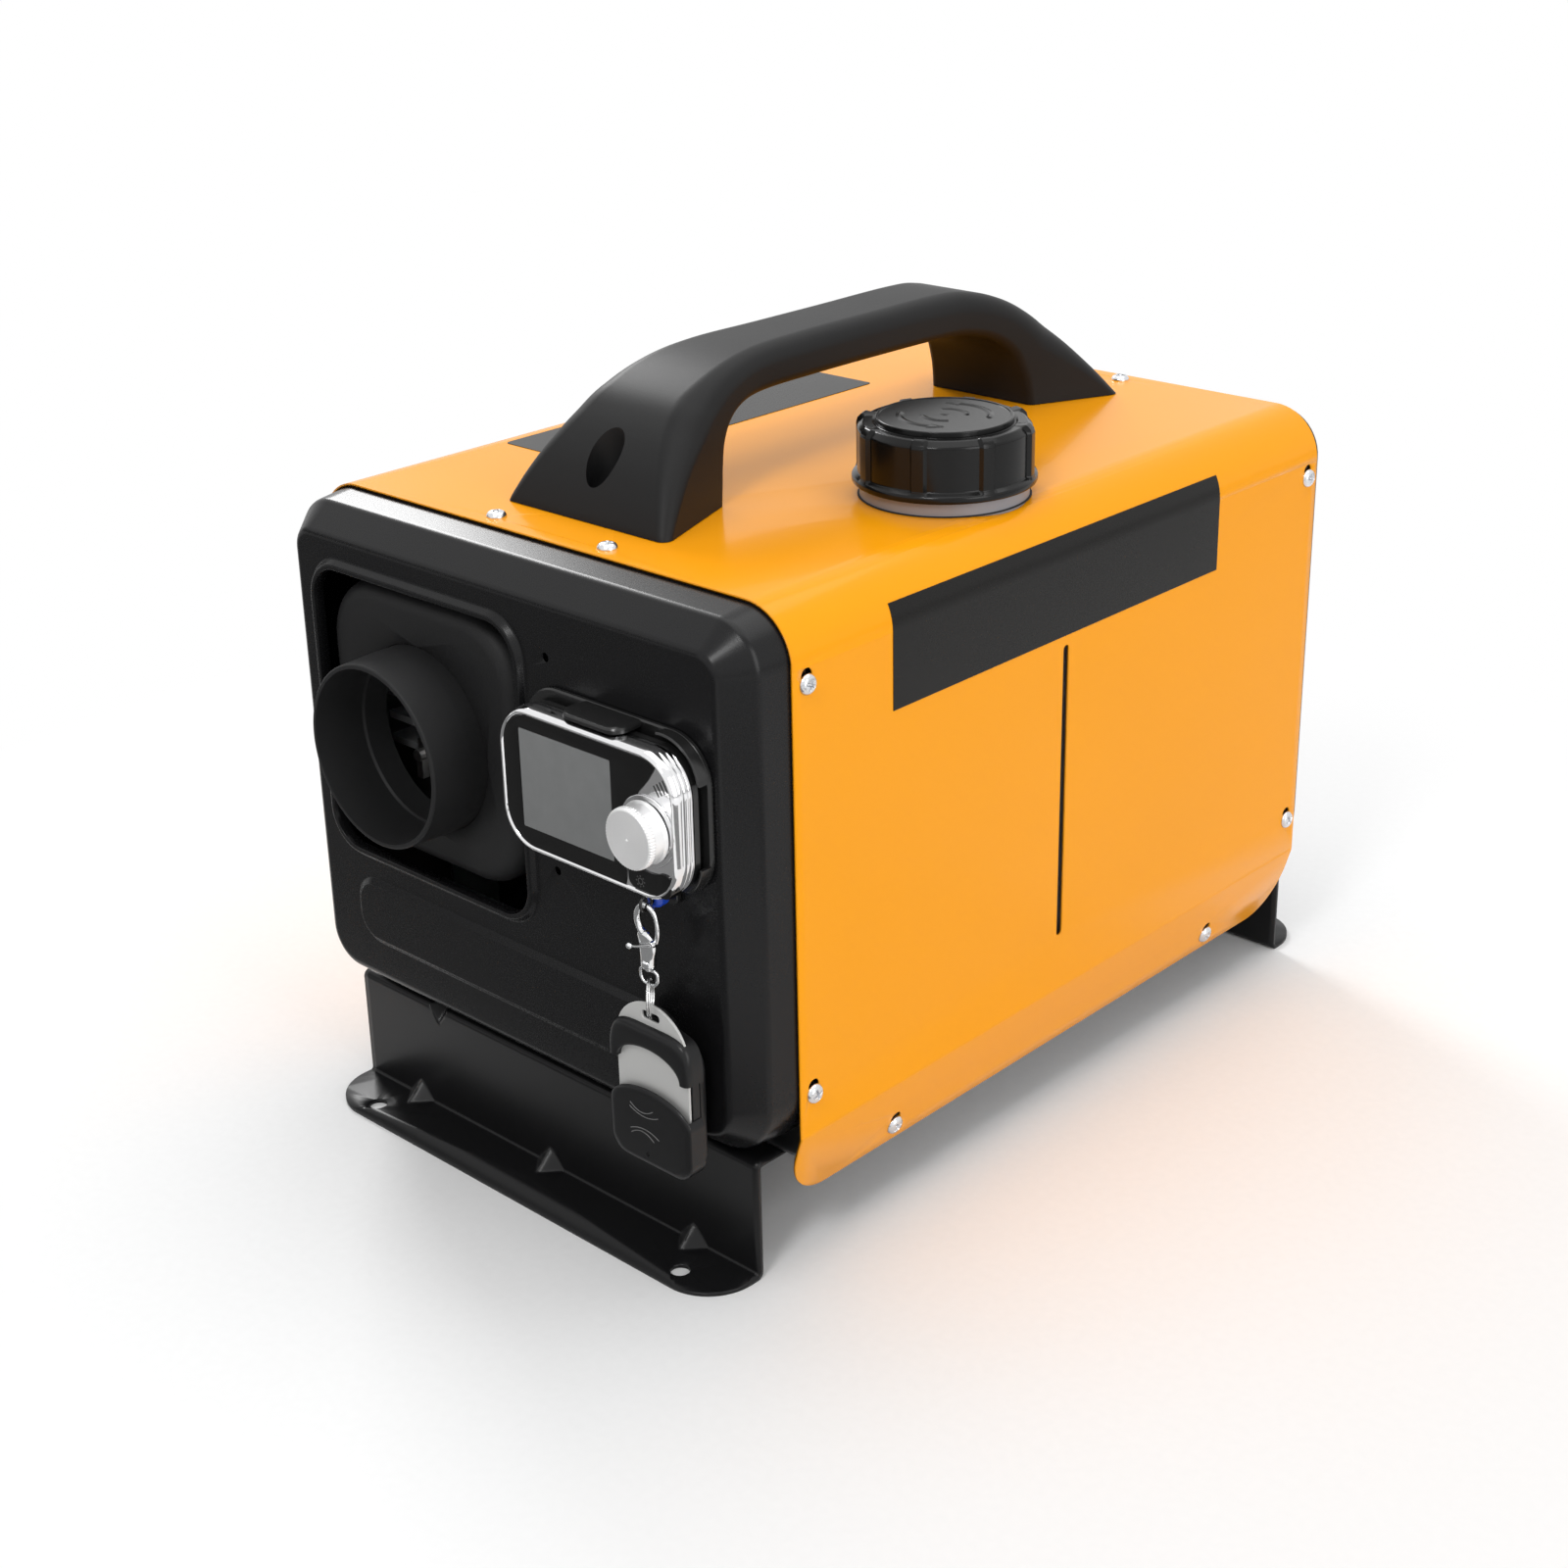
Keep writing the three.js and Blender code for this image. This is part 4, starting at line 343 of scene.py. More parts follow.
def even_shading(piece):
    """Large faces rule the shading, so that flat sheets look flat up to their bends."""
    weigh = piece.modifiers.new("Even shading", "WEIGHTED_NORMAL")
    weigh.mode, weigh.keep_sharp = "FACE_AREA_WITH_ANGLE", True


def carve(piece, surface):
    """Cuts a closed surface out of a piece and keeps the result as its mesh."""
    cutter = bpy.data.objects.new("cutter", make_mesh("cutter", surface))
    bpy.context.scene.collection.objects.link(cutter)
    cut = piece.modifiers.new("Cut", "BOOLEAN")
    cut.operation, cut.solver, cut.object = "DIFFERENCE", "EXACT", cutter
    others = [m for m in piece.modifiers if m.name != cut.name]
    for m in others:
        m.show_viewport = False
    carved = bpy.data.meshes.new_from_object(
        piece.evaluated_get(bpy.context.evaluated_depsgraph_get())
    )
    piece.modifiers.remove(cut)
    for m in piece.modifiers:
        m.show_viewport = True
    piece.data = carved
    carved.set_sharp_from_angle(angle=math.radians(CREASE))
    bpy.data.objects.remove(cutter)


# ---------------------------------------------------------------- finishes
def connect(tree, socket, value):
    """Links a Value to a socket, or sets the socket to a number, colour or vector."""
    if isinstance(value, Value):
        tree.links.new(value.socket, socket)
    else:
        socket.default_value = value


class Value:
    """One output of a node. An expression on values adds the Math nodes that it needs."""

    def __init__(self, tree, socket):
        self.tree, self.socket = tree, socket

    def math(self, operation, *terms, clamp=False):
        """A Math node on the terms, which are values or numbers."""
        node = self.tree.nodes.new("ShaderNodeMath")
        node.operation, node.use_clamp = operation, clamp
        for socket, term in zip(node.inputs, terms):
            connect(self.tree, socket, term)
        return Value(self.tree, node.outputs[0])

    def __add__(self, other):
        return self.math("ADD", self, other)

    __radd__ = __add__

    def __sub__(self, other):
        return self.math("SUBTRACT", self, other)

    def __rsub__(self, other):
        return self.math("SUBTRACT", other, self)

    def __mul__(self, other):
        return self.math("MULTIPLY", self, other)

    __rmul__ = __mul__

    def __truediv__(self, other):
        return self.math("DIVIDE", self, other)

    def __rtruediv__(self, other):
        return self.math("DIVIDE", other, self)


class Finish:
    """A material in the making: a Principled shader and the nodes that feed it."""

    def __init__(self, name, fixed=()):
        self.material = bpy.data.materials.new(name)
        self.material.use_nodes = True
        self.tree = self.material.node_tree
        self.shader = next(n for n in self.tree.nodes if n.type == "BSDF_PRINCIPLED")
        for socket, value in dict(fixed).items():
            self.shader.inputs[socket].default_value = value
        self.place = self.node("ShaderNodeTexCoord", output="Object")

    def node(self, kind, settings=(), inputs=(), output=0):
        """Any node but Math: its settings first, then the values or links of its sockets."""
        node = self.tree.nodes.new(kind)
        for name, value in dict(settings).items():
            setattr(node, name, value)
        for name, value in dict(inputs).items():
            connect(self.tree, node.inputs[name], value)
        return Value(self.tree, node.outputs[output])

    def mapped(self, scale, location=(0, 0, 0)):
        """Object coordinates, stretched and moved."""
        inputs = {"Vector": self.place, "Scale": scale, "Location": location}
        return self.node("ShaderNodeMapping", inputs=inputs)

    def noise(self, size, detail=2.0, stretch=(1, 1, 1)):
        """Noise from 0 to 1 whose lumps are about size millimetres, stretched along an axis."""
        where = self.place if stretch == (1, 1, 1) else self.mapped(stretch)
        inputs = {"Vector": where, "Scale": 1000.0 / size, "Detail": detail}
        return self.node("ShaderNodeTexNoise", inputs=inputs)

    def blend(self, factor, first, second):
        """A colour between two colours."""
        inputs = {0: factor, 6: first, 7: second}
        return self.node("ShaderNodeMix", {"data_type": "RGBA"}, inputs, output=2)

    def relief(self, height, depth, under=None):
        """A bump whose height of 1 stands depth millimetres proud."""
        inputs = {"Height": height, "Distance": depth * MILLIMETRE, "Strength": 1.0}
        if under is not None:
            inputs["Normal"] = under
        return self.node("ShaderNodeBump", inputs=inputs)

    def use(self, links):
        """Feeds the shader's sockets and gives the material."""
        for socket, value in links.items():
            connect(self.tree, self.shader.inputs[socket], value)
        return self.material


def shade(colour, factor):
    """A colour made lighter or darker, with its alpha."""
    return tuple(min(1.0, c * factor) for c in colour[:3]) + (1.0,)


def plain_finish(name, colour, rough, grain, depth, drift=0.12, fixed=(), stretch=(1, 1, 1)):
    """Colour = a slow noise between two tints; roughness = rough + fine and slow noise; bump = a
    grain of that size and depth in millimetres over a faint long wave."""
    finish = Finish(name, fixed)
    slow, fine = finish.noise(70, 3.0), finish.noise(grain, 3.0, stretch)
    tint = finish.blend(slow, shade(colour, 1 - drift), shade(colour, 1 + drift))
    speck = finish.blend(fine * 0.35, tint, shade(colour, 1 + 2.5 * drift))
    wave = finish.relief(slow, 0.03)
    return finish.use({
        "Base Color": speck,
        "Roughness": rough + (fine - 0.5) * 0.16 * rough + (slow - 0.5) * 0.2 * rough,
        "Normal": finish.relief(fine, depth, wave),
    })


def paint_finish(name, colour):
    """Glossy powder coat: a faint orange peel of two sizes under a clear, even gloss."""
    finish = Finish(name, {"Coat Weight": 0.13, "Coat Roughness": 0.05, "Specular IOR Level": 0.1})
    slow, peel, fine = finish.noise(120, 2.0), finish.noise(3.2, 1.0), finish.noise(0.5, 2.0)
    tint = finish.blend(slow, shade(colour, 0.965), shade(colour, 1.03))
    wave = finish.relief(slow, 0.05)
    return finish.use({
        "Base Color": finish.blend(fine * 0.12, tint, shade(colour, 0.9)),
        "Roughness": 0.2 + (slow - 0.5) * 0.06 + (fine - 0.5) * 0.05,
        "Normal": finish.relief(peel * 0.8 + fine * 0.2, 0.006, wave),
    })


def chrome_finish(name, colour, rough=0.06):
    """Bright plating: clean mirror with slow waviness and faint handling marks."""
    finish = Finish(name, {"Metallic": 1.0})
    slow, smear = finish.noise(9, 2.0), finish.noise(2.5, 4.0, (1, 1, 3))
    return finish.use({
        "Base Color": finish.blend(smear * 0.5, (*colour, 1), shade(colour, 0.82)),
        "Roughness": rough + smear * 0.05,
        "Normal": finish.relief(slow, 0.03),
    })


def spun_finish(name, colour, centre):
    """Metal spun on a lathe: fine rings about an axis along y, from the distance to the axis."""
    finish = Finish(name, {"Metallic": 0.55})
    x, z = centre[0] * MILLIMETRE, centre[1] * MILLIMETRE
    flat = finish.mapped((1, 0, 1), (-x, 0, -z))
    reach = finish.node("ShaderNodeVectorMath", {"operation": "LENGTH"}, {0: flat}, "Value")
    rings = finish.node("ShaderNodeTexNoise", {"noise_dimensions": "1D"},
                        {"W": reach, "Scale": 9000.0, "Detail": 3.0})
    smear = finish.noise(3, 3.0)
    return finish.use({
        "Base Color": finish.blend(rings * 0.4, (*colour, 1), shade(colour, 0.8)),
        "Roughness": 0.24 + rings * 0.1 + smear * 0.05,
        "Normal": finish.relief(rings, 0.05),
    })


def screen_finish(name, colour):
    """A dead display behind glass: grey, with painted shade that darkens it towards the bottom, and
    a faint mottle.
    """
    finish = Finish(name, {"Coat Weight": 0.6, "Coat Roughness": 0.12})
    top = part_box("controller_screen")[1].z
    height = finish.node("ShaderNodeSeparateXYZ", inputs={"Vector": finish.place}, output="Z")
    # Painted shade: low grows from the screen's top edge downwards and darkens its grey towards the
    # bottom.
    low = (top - height) * 14.0
    mottle, fine = finish.noise(7, 3.0), finish.noise(0.4, 1.0)
    tint = finish.blend(mottle, shade(colour, 0.9), shade(colour, 1.12))
    return finish.use({
        "Base Color": finish.blend(low * 0.35, tint, shade(colour, 0.6)),
        "Roughness": 0.32 + (mottle - 0.5) * 0.12,
        "Normal": finish.relief(fine, 0.004),
    })


def finish_of(name):
    """The named finish, made at its first use."""
    found = bpy.data.materials.get(name)
    if found:
        return found
    tints = bpy.context.scene.heater_finishes
    soft_black, dull, satin = ({"Specular IOR Level": level} for level in (0.24, 0.25, 0.18))
    metal, part_metal, brushed = {"Metallic": 1.0}, {"Metallic": 0.55}, (1, 1, 12)
    # Plain finishes: colour, roughness, grain size and depth, drift of the colour, the shader's
    # even values, and the grain's stretch.
    plain = {
        "cover_coat": (tints.coat, 0.27, 0.9, 0.004, 0.12, soft_black),
        "foot_coat": (tints.coat, 0.3, 0.9, 0.005, 0.12, soft_black),
        "handle_grain": (shade(tints.plastic, 0.6), 0.47, 0.5, 0.03, 0.12, satin),
        "duct_grain": (tints.plastic, 0.55, 0.7, 0.05, 0.12, dull),
        "cap_gloss": ((0.004, 0.004, 0.004), 0.2, 1.2, 0.012, 0.12, dull),
        "primer": ((0.012, 0.011, 0.01), 0.6, 2.0, 0.02, 0.12, dull),
        "seal_rubber": ((0.012, 0.012, 0.012), 0.7, 0.6, 0.02),
        "tank_grey": ((0.25, 0.245, 0.26), 0.38, 2.0, 0.02, 0.06),
        "label_vinyl": ((0.007, 0.0065, 0.006), 0.28, 1.5, 0.004, 0.12, satin),
        "heater_grain": ((0.02, 0.02, 0.02), 0.55, 0.8, 0.04),
        "cast_alloy": ((0.5, 0.51, 0.52), 0.5, 0.8, 0.05, 0.12, {"Metallic": 0.6}),
        "plain_steel": ((0.45, 0.44, 0.43), 0.34, 0.5, 0.01, 0.12, metal, brushed),
        "zinc_sheet": ((0.5, 0.51, 0.52), 0.36, 9.0, 0.01, 0.12, metal),
        "zinc_screw": ((0.66, 0.67, 0.69), 0.22, 0.6, 0.01, 0.12, metal),
        "gloss_black": ((0.002, 0.002, 0.002), 0.07, 4.0, 0.002, 0.12, {"Specular IOR Level": 0.4}),
        "holder_black": ((0.011, 0.011, 0.011), 0.26, 1.0, 0.01),
        "icon_grey": ((0.06, 0.06, 0.06), 0.4, 0.5, 0.003),
        "bead_blue": ((0.01, 0.05, 0.4), 0.25, 0.8, 0.01),
        "fob_gloss": ((0.01, 0.01, 0.0105), 0.3, 0.7, 0.008, 0.12, dull),
        "fob_silver": ((0.8, 0.8, 0.79), 0.3, 0.4, 0.006, 0.12, part_metal, brushed),
        # Raised arcs on the fob's slide: real ridges, and their light grey is a painted highlight.
        "fob_mark": ((0.12, 0.12, 0.12), 0.35, 0.5, 0.004),
        # The board's own green solder mask, darkened further as painted shade for its place deep
        # behind the cover.
        "board_mask": ((0.006, 0.05, 0.02), 0.3, 3.0, 0.02, 0.3),
        "hose_rubber": ((0.012, 0.012, 0.012), 0.6, 0.8, 0.02),
    }
    special = {
        "shell_paint": (paint_finish, tints.shell),
        "bright_wire": (chrome_finish, (0.72, 0.72, 0.72), 0.14),
        "chrome": (chrome_finish, (0.88, 0.88, 0.89)),
        "clasp_chrome": (chrome_finish, (0.8, 0.8, 0.81), 0.1),
        "spun_metal": (spun_finish, (0.95, 0.95, 0.95), KNOB),
        "screen_glass": (screen_finish, (0.17, 0.175, 0.175)),
    }
    if name in plain:
        return plain_finish(name, *plain[name])
    maker, *values = special[name]
    return maker(name, *values)


def dress(nodes, finish):
    """Gives kept CAD nodes a finish, smooth rounds and crisp edges, without moving a vertex."""
    for name in nodes:
        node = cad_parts[name]
        node.data.materials.clear()
        node.data.materials.append(finish_of(finish))
        node.data.polygons.foreach_set("use_smooth", np.ones(len(node.data.polygons), bool))
        node.modifiers.new("Weld", "WELD").merge_threshold = 2e-6
        split = node.modifiers.new("Crisp edges", "EDGE_SPLIT")
        split.split_angle = math.radians(CREASE)
        even_shading(node)


# ---------------------------------------------------------------- pieces
def millimetres(length):
    """A size of the add-on's, in the millimetres of the functions."""
    return round(length * 1000, 4)


def distances(line):
    """Distance along a line of points from its first one."""
    return np.concatenate([[0], np.cumsum(np.linalg.norm(np.diff(line, axis=0), axis=1))])


def wrap_line(inset=0.0):
    """Half the shell's section as (x, z) points from its crown down to the skirt's edge."""
    half = HALF - inset
    edge = HALF - (TUCK_Z - SKIRT_Z) * math.tan(LEAN) - inset / math.cos(LEAN)
    corners = [(0, TOP - inset), (half, TOP - inset), (half, TUCK_Z), (edge, SKIRT_Z)]
    return soft(corners, [0, 22 - inset, 6, 0], 14)


WRAP = wrap_line()
WRAP_LENGTH = distances(WRAP)


def wrapped(flat, lift=0.0):
    """A flat (s, y) point on the shell, s measured along its section from the crown."""
    x, z = wrap_line(-lift).T
    s = np.abs(flat[..., 0])
    across = np.interp(s, WRAP_LENGTH, x) * np.sign(flat[..., 0])
    return np.stack([across, flat[..., 1], np.interp(s, WRAP_LENGTH, z)], -1)


def down_to(z):
    """Distance along the section from the crown to height z on the side."""
    return np.interp(-np.asarray(z, float), -WRAP[:, 1], WRAP_LENGTH)


def across_to(x):
    """Distance along the section from the crown to x on the top."""
    top = WRAP[:, 0] < HALF - 0.01
    return np.interp(x, WRAP[top, 0], WRAP_LENGTH[top])


def shell_holes():
    """Outlines of the holes on the unrolled shell: screw slots, level slot, neck, handle."""
    holes = []
    places = [(y, z) for y in END_SCREWS_Y for z in SIDE_SCREWS_Z]
    for y, z in places + [(y, SKIRT_SCREWS_Z) for y in SKIRT_SCREWS_Y]:
        low, high = down_to(z - 2.5), down_to(z + 6)
        slot = rounded(high, low, y - 3, y + 3, 2.95)
        holes += [slot, slot * (-1, 1)]
    holes.append(rounded(down_to(212.8), down_to(86), 154.6, 158.4, 1.85))
    neck = circle(*FILLER, 33.3, 96)
    holes.append(np.stack([across_to(neck[:, 0]), neck[:, 1]], -1))
    holes += [circle(x, y, 2.2, 20) for x in (-TOP_SCREW_X, TOP_SCREW_X) for y in TOP_SCREWS_Y]
    holes += [circle(0, y, 2.8, 20) for y in HANDLE_SCREWS_Y]
    return holes


def build_shell():
    """The orange sheet: a flat pattern with its holes, bent along the section of the case.

    A point (s, y) of the pattern goes to the section's x and z at distance s, and keeps its y.
    """
    end = WRAP_LENGTH[-1]
    radius = 22
    reach = radius / math.cos(LEAN)
    corner = bow(end - reach, radius, reach, radius, -90, 0, 14)
    right = np.concatenate([corner, np.stack([corner[::-1, 0], LENGTH - corner[::-1, 1]], -1)])
    outline = np.concatenate([right, right[::-1] * (-1, 1)])
    lines = [np.array([(k * s, -1), (k * s, LENGTH + 1)]) for s in WRAP_LENGTH[1:-1]
             for k in (-1, 1)]
    sheet = Surface().patch([outline, *shell_holes()], wrapped, lines)
    shell = add_piece("shell_wrap", sheet, "shell_paint", "casing", ["outer_shell"],
                      (0, 0, 1), millimetres(bpy.context.scene.heater_sizes.sheet))
    shell.data.materials.append(finish_of("primer"))
    shell.modifiers["Wall"].material_offset = 1


def skirt_x(z, inset=1.5):
    """Half width between the skirts at a height below the tuck."""
    return HALF - (TUCK_Z - z) * math.tan(LEAN) - inset / math.cos(LEAN)


def build_tray():
    """The bottom sheet: a flat pattern with its service opening, bent down along the skirts, and
    the studs on it, which are turned profiles."""
    half, turned = skirt_x(52.8), skirt_x(33)
    section = soft([(-turned, 33), (-half, 52.8), (half, 52.8), (turned, 33)], [0, 1.6, 1.6, 0], 5)
    s = distances(section)
    s -= s[-1] / 2
    outline = rounded(s[0], s[-1], 2, LENGTH - 2, 19.8, steps=10)
    hole = rounded(DUCT[0] - 19.5, DUCT[0] + 19.5, 100, 222, 1)
    lines = [np.array([(v, 1), (v, LENGTH - 1)]) for v in s[1:-1]]

    def bent(flat):
        """A point (s, y) of the flat pattern, with x and z read off the section at s."""
        x, z = (np.interp(flat[:, 0], s, section[:, k]) for k in (0, 1))
        return np.stack([x, flat[:, 1], z], -1)

    sheet = Surface().patch([outline, hole], bent, lines)
    wall = 1.5
    add_piece("tray_sheet", sheet, "zinc_sheet", "casing", ["base_tray"], (0, 0, 1),
              wall)
    studs = Surface()
    for x, y in ((-88, 60), (-88, 98), (-16, 60), (-16, 98)):
        studs.turned([(0, 52.3), (3, 52.3), (3, 59.5), (2.7, 59.8), (0, 59.8)], (x, y), at_z, 20)
    add_piece("tray_studs", studs, "zinc_sheet", "casing")


def build_labels():
    """Bare plates: a black one on the side, up to the shell's bend, and a dark one on the top.

    The side plate is a grid of (s, y) along the shell's section, standing a little proud of it.
    """
    sizes = bpy.context.scene.heater_sizes
    high, low = (down_to(millimetres(z)) for z in (sizes.plate_high, sizes.plate_low))
    s = np.array([high, *[bend for bend in WRAP_LENGTH if high < bend < low], low])
    grid = np.stack(np.meshgrid(s, np.linspace(52.5, 260, 12), indexing="ij"), -1)
    side = Surface().grid(wrapped(grid, 0.25), closed_v=False)
    add_piece("side_panel", side, "label_vinyl", "casing", (), (1, 0, 0), 0.2)
    outline = rounded(-107.5, -53, 79, 252, 2)
    top = Surface().plate([outline], [(0, TOP + 0.02), (0, TOP + 0.22)], at_z)
    add_piece("top_panel", top, "label_vinyl", "casing")


def build_front_cover():
    """A pressed pan: rim, wall, chamfer and face, with a raised frame and a raised long panel.

    Rim, frame and panel are each a rounded rectangle drawn in by a profile's inset at that
    profile's depth, and the flat face fills what lies between them.
    """
    y = FRONT_FACE
    sizes = bpy.context.scene.heater_sizes
    frame_top, panel_top = y - millimetres(sizes.frame_rise), y - millimetres(sizes.panel_rise)
    skin = Surface()
    rim = soft([(0, 8), (0, 0.5), (1.7, -13.2), (11.8, y), (16, y)], [0, 2, 5, 4.5, 0], 6)
    outer = skin.pan(COVER_RECT, rim, 12)[-1]
    ridge = soft([(0, y), (0.8, y), (2.6, frame_top), (4.6, frame_top), (5, y - 1), (5, y + 2.2)],
                 [0, 1.2, 1.4, 0.5, 0.4, 0], 4)
    frame_loop = skin.pan(FRAME_RECT, ridge, 12)[0]
    step = soft([(0, y), (0.5, y), (3.2, panel_top), (5, panel_top)], [0, 0.8, 1.0, 0], 4)
    panel = skin.pan(PANEL_RECT, step, 10)
    holes = [circle(x, z, 1.9, 24) for x, z in ((30.7, 235.9), (30.5, 150))]
    skin.patch([outer, frame_loop, panel[0], *holes], lambda flat: at_y(flat, y))
    skin.patch([panel[-1]], lambda flat: at_y(flat, panel_top))
    add_piece("front_pan", skin, "cover_coat", "casing", ["front_cover"],
              (0, -1, 0), millimetres(sizes.sheet))


def build_rear_cover():
    """The rear pan with round holes for the grille and the lead gland, and a fine guard.

    The guard's gaps lie between radii hub + n pitch, in five parts of the circle each, less half
    a spoke's width at both sides, which is an angle of 1.1 / r.
    """
    y = REAR_FACE
    skin = Surface()
    rim = soft([(0, LENGTH - 8), (0, LENGTH + 3.5), (9, y), (14, y)], [0, 3, 4, 0], 6)
    outer = skin.pan(COVER_RECT, rim, 12)[-1]
    holes = [circle(*DUCT, 46, 72), circle(*GLAND, 9.3, 32)]
    skin.patch([outer, *holes], lambda flat: at_y(flat, y))
    add_piece("rear_pan", skin, "cover_coat", "casing", ["rear_cover"],
              (0, 1, 0), millimetres(bpy.context.scene.heater_sizes.sheet))
    guard = Surface()
    reach, hub, pitch, half_spoke = 45.7, 9.0, 11.5, 1.1
    loops = [circle(*DUCT, reach, 96)]
    for ring in range(3):
        for k in range(5):
            r0, r1 = hub + ring * pitch, hub + (ring + 1) * pitch - 2 * half_spoke
            gaps = [math.degrees(half_spoke / q) for q in (r0, r1)]
            outer = bow(*DUCT, r1, r1, 72 * k + gaps[1], 72 * k + 72 - gaps[1], 12)
            inner = bow(*DUCT, r0, r0, 72 * k + 72 - gaps[0], 72 * k + gaps[0], 8)
            loops.append(np.concatenate([outer, inner]))
    guard.plate(loops, [(0.35, y - 3), (0, y - 2.6), (0, y + 1.1), (0.4, y + 1.5)])
    rim = soft([(43.7, y + 0.3), (51, y + 0.3), (50.4, y + 2.1), (43.7, y + 2.1), (43.7, y + 0.3)],
               [0, 0.3, 0.7, 0.6, 0], 3)
    guard.turned(rim, DUCT)
    add_piece("rear_guard", guard, "duct_grain", "casing", ["intake_grille"])
    gland = Surface()
    line = soft([(3.5, y - 8.7), (9, y - 8.7), (9, y + 5.3), (8, y + 9.3), (5.5, y + 13.3),
                 (5, y + 15.3), (3.5, y + 15.3), (3.5, y - 8.7)],
                [0, 0.4, 1, 1, 0.6, 0.5, 0.3, 0], 3)
    gland.turned(line, GLAND, steps=48)
    nut = fillet(circle(*GLAND, 12, 6), 0.8, 3)[0]
    gland.plate([nut, circle(*GLAND, 8.9, 32)],
                [(0.4, y + 0.3), (0, y + 0.7), (0, y + 4.7), (0.5, y + 5.3)])
    add_piece("lead_gland", gland, "duct_grain", "casing", ["power_gland"])


def foot_surface(rear):
    """An angle bracket: a flat pattern (x, s) bent along its section, with pressed gussets.

    In a gusset the bend's two sides are drawn onto the chord between them: with t = 1 on its
    middle and 0 at its ends, a point at distance w from the bend goes to M + (E - M) w / (t L).
    """
    corner_low, corner_high = np.array([-11.65, 2.0]), np.array([-11.65, 51.0])
    corners = [(-38, 2), corner_low, corner_high, (24.35, 51)]
    section = soft(corners, [0, 1.2, 3, 0], 5)
    s = distances(section)
    low, high = s[1:7].mean(), s[7:13].mean()
    # Each gusset: x, distance s of its bend, the bend's corner, the ways to both sides, how far it
    # reaches before and after the bend, and half its width.
    gussets = [(x, low, corner_low, (-1, 0), (0, 1), 8.5, 8.0, 7.5) for x in (-83, 0, 83)]
    gussets += [(x, high, corner_high, (0, -1), (1, 0), 8.0, 8.0, 5.5) for x in (-68, 68)]
    spots, creases, across = [], [], [np.linspace(-119, 119, 61)]
    for x, at, _, _, _, near, far, half in gussets:
        a, b = np.meshgrid(np.linspace(-1.4, 1.4, 29), np.linspace(-1.4, 1.4, 29))
        w = b * np.where(b < 0, near, far)
        # Points of the rhombus and a little round it, with none on the bend itself.
        keep = (np.abs(a) + np.abs(b) <= 1.42) & (np.abs(w) > (1.3 if at == low else 2.8))
        spots.append(np.stack([x + a[keep] * half, at + w[keep]], -1))
        rim = np.array([(x - half, at), (x, at - near), (x + half, at), (x, at + far),
                        (x - half, at)])
        creases.append(rim)
        across.append(x + half * np.linspace(-1.2, 1.2, 25))
    across = np.unique(np.concatenate(across))
    outline = np.concatenate([
        bow(-96, 22, 22, 22, 180, 270, 16), bow(96, 22, 22, 22, 270, 360, 16),
        [(118, s[-1]), (-118, s[-1])],
    ])
    holes = [circle(x, 9, 4, 32) for x in (-92.4, 92.4)]
    lines = [np.stack([across, 0 * across + v], -1) for v in s[1:-1]]

    def bent(flat):
        """The bent pattern: on the section, or on a gusset's chord, by the rule above."""
        x, v = flat.T
        y, z = np.interp(v, s, section[:, 0]), np.interp(v, s, section[:, 1])
        path = np.stack([y, z], -1)
        for cx, at, point, before, after, near, far, half in gussets:
            t = 1 - (np.sqrt((x - cx) ** 2 + 0.36) - 0.6) / half
            t = np.clip(t, 1e-6, 1)
            w = v - at
            reach = np.where(w < 0, near, far) * t
            share = np.abs(w) / reach
            start = point + np.outer(near * t, before)
            stop = point + np.outer(far * t, after)
            middle = (start + stop) / 2
            end = np.where((w < 0)[:, None], start, stop)
            moved = middle + (end - middle) * share[:, None]
            hit = (share < 1) & (t > 0.01)
            path = np.where(hit[:, None], moved, path)
        points = np.stack([x, path[:, 0], path[:, 1]], -1)
        if rear:
            points = points * (-1, -1, 1) + (0, LENGTH, 0)
        return points

    return Surface().patch([outline, *holes], bent, lines + creases, spots)


def build_feet():
    """Both brackets; the rear one is the front one turned half round."""
    wall = millimetres(bpy.context.scene.heater_sizes.bracket)
    for end in ("front", "rear"):
        foot = foot_surface(end == "rear")
        add_piece(end + "_bracket", foot, "foot_coat", "casing", [end + "_foot"],
                  (0, 0, 1), wall, crease=40)


